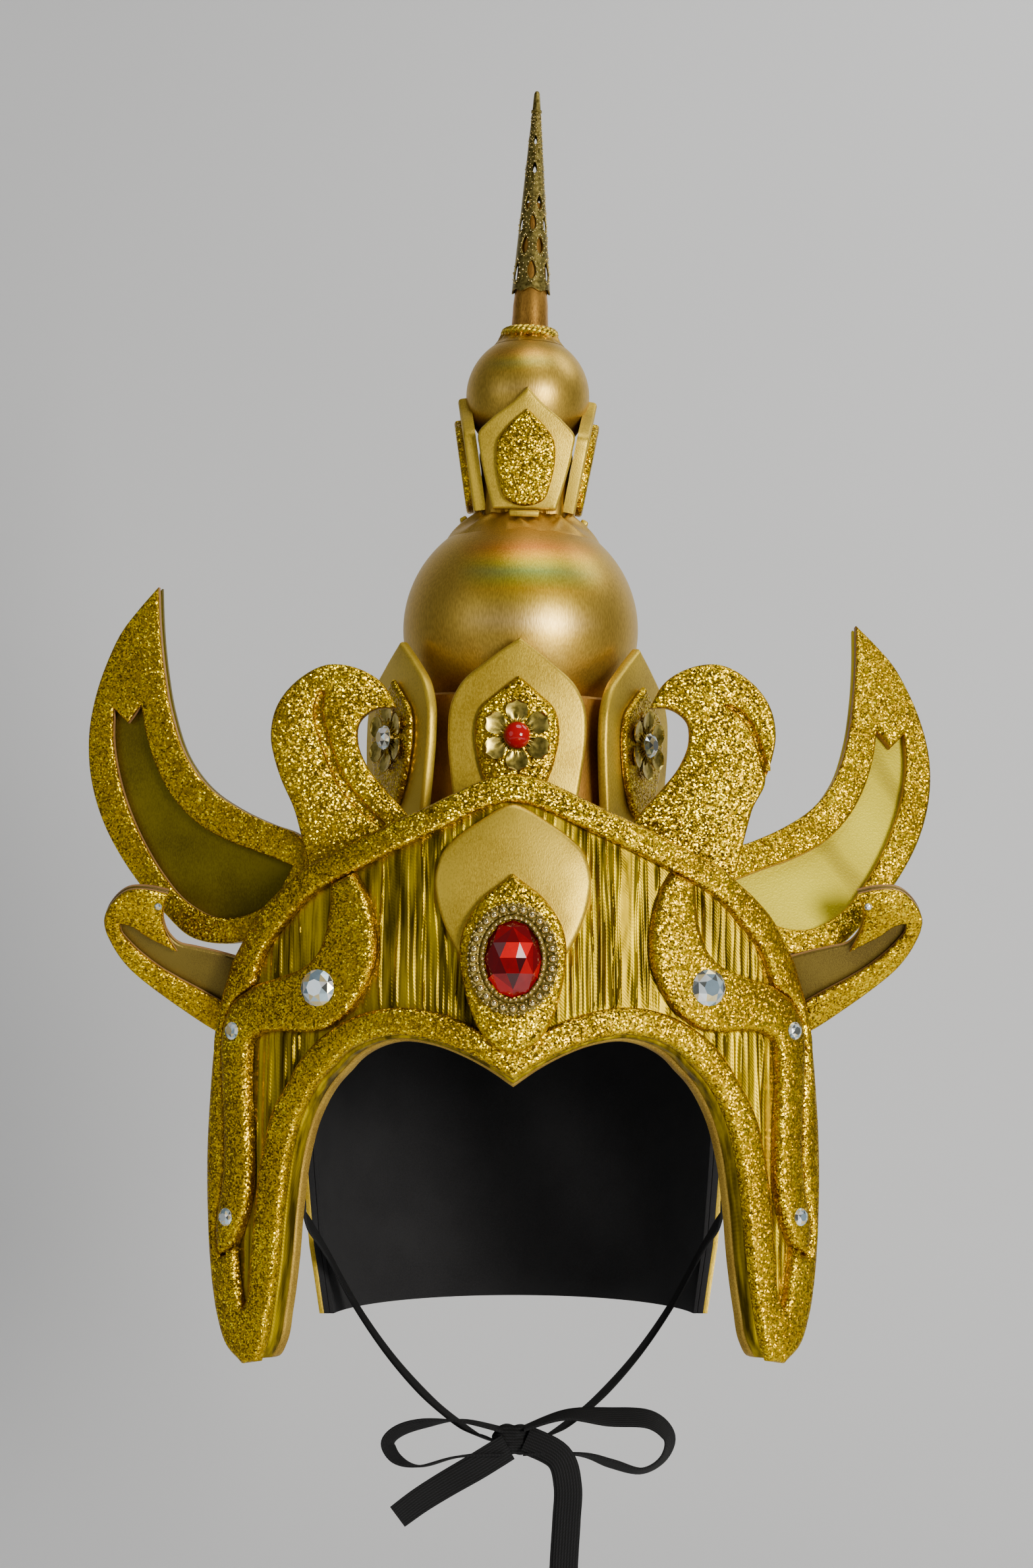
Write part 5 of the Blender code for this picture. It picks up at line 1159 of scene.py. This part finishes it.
def onDome(angle, reach):
    x, y = reach * math.cos(angle), reach * math.sin(angle)
    inside = max(0.0, 1 - (x / dome["halfWidth"]) ** 2 - (y / (dome["back"] if y > 0 else dome["front"])) ** 2)
    return towerPoint(angle, reach, dome["widest"] + (dome["top"] - dome["widest"]) * math.sqrt(inside))


def makeDrum():
    bm = bmesh.new()
    radius, lip, top, wall, edge, sides = (
        turned["drum" + word] for word in ("Radius", "Lip", "Top", "Wall", "Edge", "Sides"))
    outside = ((lip, top), (radius - edge, top), (radius, top - edge), (radius, turned["drumFoot"]))
    inside = ((radius - wall, top - wall), (lip, top - wall))
    ringsToFaces(bm, makeRings(bm, outside, sides, towerPoint)
                 + makeRings(bm, ((radius,), (radius - wall,)), sides, onDome)
                 + makeRings(bm, inside, sides, towerPoint))
    # the drum's cloth is darkened to brown: painted shade
    finishPiece("drumCover", bm, ["drumCloth"], ["drum"])


def collarRidges():
    # angle, height, width, slant and length of each gather
    rng = random.Random(turned["seed"])
    ridges = []
    for middle in around(turned["gathers"], turned["gatherShift"]):
        uneven, tall, width, slant, length = (
            rng.uniform(*ends) for ends in ((-0.13, 0.13), (0.5, 1.0), (0.035, 0.065), (-0.5, 0.5), (0.5, 1.0)))
        ridges.append((middle + uneven, tall, width, slant, length))
    for side in (-1, 1):
        for turn, slant, tall in turned["folds"]:
            at = turn if side > 0 else math.pi - turn
            ridges.append((at % fullTurn, tall, turned["foldWidth"], side * slant, 1.0))
    return ridges


def makeCollar():
    middle, under = tower["ballHeight"], tower["ballRadius"] + turned["skirtLift"]
    cup, skirt, power = turned["cupRadius"], turned["skirtRadius"], turned["cupSquare"]

    def onBall(reach, lift):
        return middle + math.sqrt(max(0.0, (under + lift) * (under + lift) - reach * reach))

    def onCollar(angle, reach, height, share):
        square = (abs(math.cos(angle)) ** power + abs(math.sin(angle)) ** power) ** (-1 / power)
        if height is not None:
            return towerPoint(angle, reach * square, height)
        swell = 0.0
        for at, tall, width, slant, length in ridges:
            off = (angle - at - slant * share + math.pi) % fullTurn - math.pi
            fall = max(0.0, 1 - (share / length) ** 2)
            swell = max(swell, tall * fall * math.exp(-abs(off / width) ** 1.5))
        swell *= turned["gatherRise"] * min(1.0, 0.15 + share * 7.0) if share else 0.0
        wall = (turned["skirtWall"] * (1 - share) ** 2 - turned["tuck"] * share ** 2
                + turned["skirtEdge"] * (share - share ** 12) * math.cos(angle) ** 2)
        out = reach * (1 + (square - 1) * (1 - share))
        return towerPoint(angle, out, onBall(out, wall + swell))

    ridges = collarRidges()
    profile = [(cup + turned["cupFlare"], turned["cupTop"], 0.0),
               (cup + turned["cupFlare"] * 0.5, turned["cupMiddle"], 0.0), (cup, turned["shelf"], 0.02)]
    profile += [(cup + (skirt - cup) * share, None, share)
                for share in (k / turned["skirtSteps"] for k in range(turned["skirtSteps"] + 1))]
    underside = [(skirt * share, onBall(skirt * share, -turned["skirtSunk"])) for share in (0.98, 0.7, 0.4)]
    bm = bmesh.new()
    rings = makeRings(bm, profile, turned["collarSides"], onCollar)
    rings += makeRings(bm, underside, turned["collarSides"], towerPoint)
    ringsToFaces(bm, rings, closed=False, ends=True)
    finishPiece("collarCover", bm, ["ballSatin"], ["collar"], angle=80)
    bm = bmesh.new()
    lie = Matrix.Translation(turned["strapPlace"]) @ Matrix.Rotation(math.radians(turned["strapTilt"]), 4, "X")
    for angle in around(4):
        roundBox(bm, towerLean @ Matrix.Rotation(angle, 4, "Z") @ lie, turned["strap"], turned["strapRound"])
    finishPiece("collarStraps", bm, ["champagneCloth"])


def roundBox(bm, matrix, size, radius):
    made = bmesh.ops.create_cube(bm, size=1.0)
    bmesh.ops.scale(bm, vec=size, verts=made["verts"])
    edges = list({e for v in made["verts"] for e in v.link_edges})
    bent = bmesh.ops.bevel(bm, geom=edges, offset=radius, segments=3, profile=0.5, affect="EDGES")
    verts = list({v for f in bent["faces"] for v in f.verts} | {v for v in made["verts"] if v.is_valid})
    bmesh.ops.transform(bm, matrix=matrix, verts=verts)


def makeNeck():
    profile = [(reach * mm, height * mm) for reach, height in turned["neck"]]
    bm = bmesh.new()
    ringsToFaces(bm, makeRings(bm, profile, turned["neckSides"], towerPoint), closed=False, ends=True)
    finishPiece("neckCover", bm, ["neckCloth"], ["neck"])
    # the gathered edge of the small ball's cloth, round the foot of the neck
    rng = random.Random(turned["seed"])
    waves = [(n, rng.uniform(0.2, 0.5) * mm, rng.uniform(0, 6.28)) for n in turned["ruffleWaves"]]

    def onRuffle(angle, reach, height, share):
        wave = sum(tall * math.sin(n * angle + phase) for n, tall, phase in waves) * share
        dip = turned["ruffleDip"] * share * max(0.0, -math.sin(angle)) ** 3 * (height > turned["dipFrom"])
        return towerPoint(angle, reach * mm + wave, height * mm + wave * 0.5 - dip)

    bm = bmesh.new()
    ringsToFaces(bm, makeRings(bm, turned["ruffle"], turned["ruffleSides"], onRuffle))
    finishPiece("neckRuffle", bm, ["smallBallSatin"], angle=80)


braid = {"ring": 10.1 * mm, "height": 227.6 * mm, "strand": 1.25 * mm, "wind": 1.15 * mm, "turns": 9, "strands": 3,
         "steps": 360, "sides": 8}


def makeBraid():
    bm = bmesh.new()
    for start in around(braid["strands"]):
        points = []
        for angle in around(braid["steps"]):
            wind = braid["turns"] * angle + start
            points.append(towerPoint(angle, braid["ring"] + braid["wind"] * math.cos(wind),
                                     braid["height"] + braid["wind"] * math.sin(wind)))
        rings = []
        for i, p in enumerate(points):
            run = (points[(i + 1) % len(points)] - points[i - 1]).normalized()
            side = run.cross(Vector((0, 0, 1))).normalized()
            over = side.cross(run)
            rings.append([bm.verts.new(p + side * braid["strand"] * math.cos(a) + over * braid["strand"] * math.sin(a))
                          for a in around(braid["sides"])])
        ringsToFaces(bm, rings)
    finishPiece("braidCord", bm, ["goldCord"], ["braid_ring"])


spire = {"foot": 245.5 * mm, "length": 89 * mm, "footRadius": 8.3 * mm, "tipRadius": 1.15 * mm, "wall": 0.6 * mm,
         "columns": 6, "shifts": (0, 1, 0, 1, 1, 0, 1, 0, 1, 0), "openRows": 4, "throughRows": (5, 7),
         "shrink": 0.90, "start": 3.0 * mm, "pierced": 0.90, "leafHalf": 0.24, "leafPoints": 14, "leafEnds": 0.14,
         "scallop": 1.4 * mm, "scallopDrop": 0.4 * mm, "granule": 0.40 * mm, "granuleOut": 1.28, "edgeSteps": 48,
         "seamSteps": 20, "rim": 0.12 * mm, "grid": 2.2 * mm, "least": 0.15 * mm,
         "tipSides": 32, "seat": 0.05 * mm,
         # the tip's beads: level as a share of the length, and rise in mm
         "tip": ((0.890, 0.0), (0.893, 0.45), (0.902, 0.45), (0.906, 0.0), (0.985, 0.0), (0.996, -0.35),
                 (1.0, -0.9))}


def spireRadius(level):
    return spire["footRadius"] * (1 - level) + spire["tipRadius"] * level


def spirePlace(a, b, depth):
    # the seam is on the left, so a quarter of the way round is the front
    angle = a / spire["footRadius"] - math.pi
    radius = max(spire["least"], spireRadius(b / spire["length"]) + depth)
    return towerPoint(angle, radius, spire["foot"] + b)


def spireLeaf(centre, low, high, half):
    loop = []
    for t in around(spire["leafPoints"]):
        along = -math.cos(t)
        wide = math.sin(t) * (1 - 0.35 * max(0.0, along))
        loop.append((centre + half * wide, (low + high) / 2 + (high - low) / 2 * along))
    return np.array(loop)


def spirePattern(cell, top):
    # the leaves that are cut through, and the granules as across, up and size
    columns, ends = spire["columns"], spire["leafEnds"]
    heights = [spire["shrink"] ** j for j in range(len(spire["shifts"]))]
    heights = [h * (top - spire["start"] - 1.0 * mm) / sum(heights) for h in heights]
    holes, spots, base = [], [], spire["start"]
    for j, (tall, shift) in enumerate(zip(heights, spire["shifts"])):
        size = spire["granule"] * (1.0 - 0.5 * base / spire["length"])
        for i in range(columns - shift):
            centre = (i + 0.5 + 0.5 * shift) * cell
            leaf = spireLeaf(centre, base + tall * ends, base + tall * (1 - ends), cell * spire["leafHalf"])
            # in the upper rows only the leaves at the front and the back are cut through
            if j < spire["openRows"] or (j in spire["throughRows"] and i % (columns // 2) == 1):
                holes.append(leaf)
            middle = leaf.mean(0)
            ring = middle + (leaf - middle) * spire["granuleOut"]
            spots += [(a, b, size) for a, b in ring[::1 if j < spire["openRows"] else 2]]
            spots += [(centre + cell * 0.5, base + tall * share, size * grown)
                      for share, grown in ((0.5, 1.4), (0.25, 0.9), (0.75, 0.9))]
        base += tall
    return holes, spots


def makeSpire():
    length, steps, sides = fullTurn * spire["footRadius"], spire["edgeSteps"], spire["seamSteps"]
    top = spire["length"] * spire["pierced"]
    holes, spots = spirePattern(length / spire["columns"], top)
    scallops = [0.5 - 0.5 * math.cos(fullTurn * spire["columns"] * k / steps) for k in range(steps + 1)]
    edge = [(length * k / steps, spire["scallop"] * rise - spire["scallopDrop"]) for k, rise in enumerate(scallops)]
    right = [(length, top * k / sides) for k in range(1, sides)]
    over = [(length * (1 - k / steps), top) for k in range(steps + 1)]
    left = [(0.0, top * (1 - k / sides)) for k in range(1, sides)]
    bm = bmesh.new()
    roundedPlate(bm, [np.array(edge + right + over + left)] + holes, spirePlace, -spire["wall"], 0.0, spire["rim"],
                 spire["grid"], steps=1)
    tip = [(spireRadius(level) + rise * mm, spire["foot"] + level * spire["length"]) for level, rise in spire["tip"]]
    ringsToFaces(bm, makeRings(bm, tip, spire["tipSides"], towerPoint), closed=False, ends=True)
    finishPiece("spireSleeve", bm, ["oldBrass"], ["spire_sleeve"])
    laid = []
    for a, b, size in spots:
        place = spirePlace(a, b, spire["seat"])
        laid.append((place, (place - towerLean @ Vector((0, 0, spire["foot"] + b))).normalized(), size))
    layBeads("spireGranules", laid, 1, "paleBrass")
    print("stage: spire", len(holes), "openings")


makeDrum()
makeCollar()
makeNeck()
makeBraid()
makeSpire()
print("stage: tower made")

# Cap and lining

cap = {"length": 190 * mm, "top": 6.9 * mm, "wall": 5 * mm, "gap": 0.3 * mm, "lining": 1.6 * mm,
       "inset": 0.45 * mm, "columns": 96, "domeRows": 20, "sideRows": 16,
       # below the widest place: share of the way down, then width, front and back as shares of the dome's
       "lower": ((0.0, 1.0, 1.0, 1.0), (0.20, 1.0, 0.99, 0.99), (0.46, 0.995, 0.97, 0.97),
                 (0.73, 0.973, 0.94, 0.91), (1.0, 0.915, 0.90, 0.83)),
       # the edge round the face, seen from the side: share forwards and share down
       "faceEdge": ((1.60, 0.00), (0.75, 0.00), (0.50, 0.03), (0.30, 0.11), (0.13, 0.26), (0.03, 0.44),
                    (0.00, 0.65), (0.03, 1.15), (1.60, 1.15)),
       "faceDrop": 60 * mm, "earEdge": 18 * mm, "faceStep": 3 * mm, "cutterHalf": 0.13, "binding": 0.8 * mm,
       "bareEdge": 0.4 * mm, "edgeAngle": 50, "goldShare": 0.5}


def capRings(bm, inset, top):
    widest = dome["widest"]
    rows = [(math.sin(a), math.sin(a), math.sin(a), widest + (top - widest) * math.cos(a))
            for a in (math.pi / 2 * k / cap["domeRows"] for k in range(1, cap["domeRows"] + 1))]
    down, *shares = zip(*cap["lower"])
    for t in (k / cap["sideRows"] for k in range(1, cap["sideRows"] + 1)):
        rows.append((*(float(np.interp(t, down, share)) for share in shares), widest - (cap["length"] + widest) * t))

    def onCap(angle, wide, ahead, behind, height):
        reach = dome["back"] * behind if math.sin(angle) > 0 else dome["front"] * ahead
        return ((dome["halfWidth"] - inset) * wide * math.cos(angle), (reach - inset * wide) * math.sin(angle), height)

    return bm.verts.new((0, 0, top)), makeRings(bm, rows, cap["columns"], onCap)


def capLayer(name, inset, wall, top, material, replaced=()):
    bm = bmesh.new()
    skins = []
    for pole, rings in (capRings(bm, inset, top), capRings(bm, inset + wall, top - wall)):
        for i, vert in enumerate(rings[0]):
            bm.faces.new((pole, vert, rings[0][(i + 1) % len(rings[0])]))
        ringsToFaces(bm, rings, closed=False)
        skins.append(rings[-1])
    ringsToFaces(bm, skins, closed=False)
    bmesh.ops.recalc_face_normals(bm, faces=bm.faces)
    made = addObject(name, meshOf(name, bm))
    forward, fall = dome["front"] + cap["earEdge"], cap["length"] - cap["faceDrop"]
    loop = smoothLoop([(cap["earEdge"] - f * forward, -cap["faceDrop"] - d * fall) for f, d in cap["faceEdge"]],
                      cap["faceStep"], outline["softCorner"])
    bm = bmesh.new()
    sides = [[bm.verts.new((side * cap["cutterHalf"], y, z)) for y, z in loop] for side in (-1, 1)]
    ringsToFaces(bm, sides, closed=False, ends=True)
    bmesh.ops.recalc_face_normals(bm, faces=bm.faces)
    cutter = addObject("faceCutter", meshOf("faceCutter", bm))
    step = made.modifiers.new("cut", "BOOLEAN")
    step.operation = "DIFFERENCE"
    step.solver = "EXACT"
    step.object = cutter
    bend = made.modifiers.new("rim", "BEVEL")
    bend.width = cap["binding"] if material == "champagneCloth" else cap["bareEdge"]
    bend.segments = 3
    bend.limit_method = "ANGLE"
    bend.angle_limit = math.radians(cap["edgeAngle"])
    made.data = applied(made)
    bpy.data.objects.remove(cutter)
    made.data.materials.clear()
    return finishObject(made, [material], replaced, 40)


goldWall = cap["wall"] * cap["goldShare"]
capCover = capLayer("capCover", cap["inset"], goldWall - cap["inset"], cap["top"] - cap["inset"], "champagneCloth",
                    ["cap_shell"])
capLayer("capFoam", goldWall, cap["wall"] - goldWall, cap["top"] - goldWall, "blackLining")
capLayer("capLining", cap["wall"] + cap["gap"], cap["lining"], cap["lining"], "blackLining", ["cap_lining"])
print("stage: cap made")

# Chin tape

tape = {"width": 11 * mm, "wall": 1.0 * mm, "knot": (0.0, -80 * mm, -226.5 * mm),
        "knotHalf": (9 * mm, 6 * mm, 6.5 * mm), "cheek": (1.0, 0.35, 0.7), "pieces": 8,
        # half of the section, as shares of half the width and of the wall
        "section": ((1.0, 0.0), (0.97, 0.42), (0.5, 0.5), (0.0, 0.5), (-0.5, 0.5), (-0.97, 0.42)),
        "shortest": 6}     # a cord is at least this many widths long
tapeRoute = [(82.5, -79.6, -130.0), (84.5, -45.0, -143.0), (82.0, -12.0, -154.0), (78.2, 14.0, -166.0),
             (67.0, 14.0, -186.0), (52.0, -8.0, -203.0), (36.0, -40.0, -215.0), (24.0, -61.0, -221.5),
             (15.5, -73.0, -225.3), (9.2, -77.2, -226.6)]
bowStrands = {
    # place from the knot in mm, then the twist in degrees
    "LoopLeft": [(-4, -2, 4, 0), (-20, -2, 7.5, 5), (-34, -1, 6.5, 25), (-44, 0, 3.5, 30), (-48.5, -1, -1, 25),
                 (-45, -3, -7, 10), (-36, -4, -9.5, -10), (-22, -4, -6, -10), (-4, -3, -4.5, 0)],
    "LoopRight": [(4, -2, 4.5, 0), (20, -1, 9.5, 10), (37, 1, 8.5, 30), (53, 1, 7.5, 30), (60.5, 0, 1, 25),
                  (58, -2, -7, 20), (49.5, -3, -11.5, 20), (38, -4, -8.5, 25), (26, -4, -5, 15), (4, -3, -4.5, 0)],
    "TailLeft": [(-2, -5, -2, 80), (-14, -7, -9, 80), (-26, -6, -16, 75), (-36, -7, -22, 70), (-44.5, -8, -28, 65)],
    "TailRight": [(5, -6, 1, 80), (17.5, -9, -5, 85), (21, -9, -16, 88), (20.5, -7, -30, 90), (19.5, -7, -46, 90),
                  (19, -6, -62, 90)],
}


def splinePoints(points):
    found = []
    for i in range(len(points) - 1):
        p0, p1, p2, p3 = (points[max(0, min(len(points) - 1, i + k))] for k in (-1, 0, 1, 2))
        for t in (k / tape["pieces"] for k in range(tape["pieces"])):
            found.append(0.5 * ((2 * p1) + (p2 - p0) * t + (2 * p0 - 5 * p1 + 4 * p2 - p3) * t * t
                                + (3 * p1 - p0 - 3 * p2 + p3) * t**3))
    return found + [points[-1].copy()]


def runAt(path, i):
    return (path[min(i + 1, len(path) - 1)] - path[max(i - 1, 0)]).normalized()


def makeRibbon(name, path, widths, replaced=()):
    bm = bmesh.new()
    layer = bm.loops.layers.uv.new("UVMap")
    section = tape["section"] + tuple((-a, -b) for a, b in tape["section"])
    rings, lengths = [], [0.0]
    for i, p in enumerate(path):
        run = runAt(path, i)
        wide = (widths[i] - run * widths[i].dot(run)).normalized()
        thick = run.cross(wide).normalized()
        rings.append([bm.verts.new(p + wide * (tape["width"] / 2 * a) + thick * (tape["wall"] * b))
                      for a, b in section])
        if i:
            lengths.append(lengths[-1] + (p - path[i - 1]).length)
    for number, face in enumerate(ringsToFaces(bm, rings, closed=False, ends=True)):
        i, k = divmod(number, len(section))
        j = (k + 1) % len(section)
        for loop, (u, v) in zip(face.loops, ((k, i), (j, i), (j, i + 1), (k, i + 1))):
            loop[layer].uv = (0.5 + 0.5 * section[u][0], lengths[v])
    return finishPiece(name, bm, ["blackTwill"], replaced, angle=70), lengths[-1]


def sideWidths(path):
    # a side tape lies flat on the cheek
    middle = Vector((0, 0, tape["knot"][2] / 2))
    return [runAt(path, i).cross(Vector((way * share for way, share in zip(p - middle, tape["cheek"])))).normalized()
            for i, p in enumerate(path)]


def bowWidths(path, rows):
    widths = []
    for i, turn in enumerate(splinePoints([Vector((row[3], 0, 0)) for row in rows])):
        run, twist = runAt(path, i), math.radians(turn.x)
        depthWay = (Vector((0, 1, 0)) - run * run.y).normalized()
        widths.append(depthWay * math.cos(twist) + run.cross(depthWay) * math.sin(twist))
    return widths


def makeKnot(knot):
    bm = bmesh.new()
    layer = bm.loops.layers.uv.new("UVMap")
    bmesh.ops.create_uvsphere(bm, u_segments=48, v_segments=32, radius=1.0)
    for v in bm.verts:
        angle = math.atan2(v.co.z, v.co.x)
        crease = 1 - 0.10 * abs(math.cos(angle * 2.0 + v.co.y)) ** 6 - 0.06 * abs(math.sin(3 * angle)) ** 4
        v.co = Vector([c * half for c, half in zip(v.co, tape["knotHalf"])]) * crease
    for face in bm.faces:
        for loop in face.loops:
            loop[layer].uv = (0.5 + loop.vert.co.z / tape["width"], loop.vert.co.x)
    bmesh.ops.translate(bm, vec=knot, verts=bm.verts)
    return finishPiece("bowKnot", bm, ["blackTwill"], ["chin_bow"])


def makeTapes():
    knot = Vector(tape["knot"])
    cords, short = [], []
    for side, word in ((-1, "left"), (1, "right")):
        path = splinePoints([Vector((side * x, y, z)) * mm for x, y, z in tapeRoute])
        made, length = makeRibbon("chinTape" + word.title(), path, sideWidths(path), ["chin_tape_" + word])
        cords.append((made, path, length, "knot"))
    for name, rows in bowStrands.items():
        path = splinePoints([knot + Vector(row[:3]) * mm for row in rows])
        made, length = makeRibbon("bow" + name, path, bowWidths(path, rows))
        if length < tape["shortest"] * tape["width"]:
            short.append(made)
        else:
            cords.append((made, path, length, "bare" if "Tail" in name else "knot"))
    middle = makeKnot(knot)
    for made, path, length, end in cords:
        print("stage: %s %.0f mm" % (made.name, length / mm))


makeTapes()
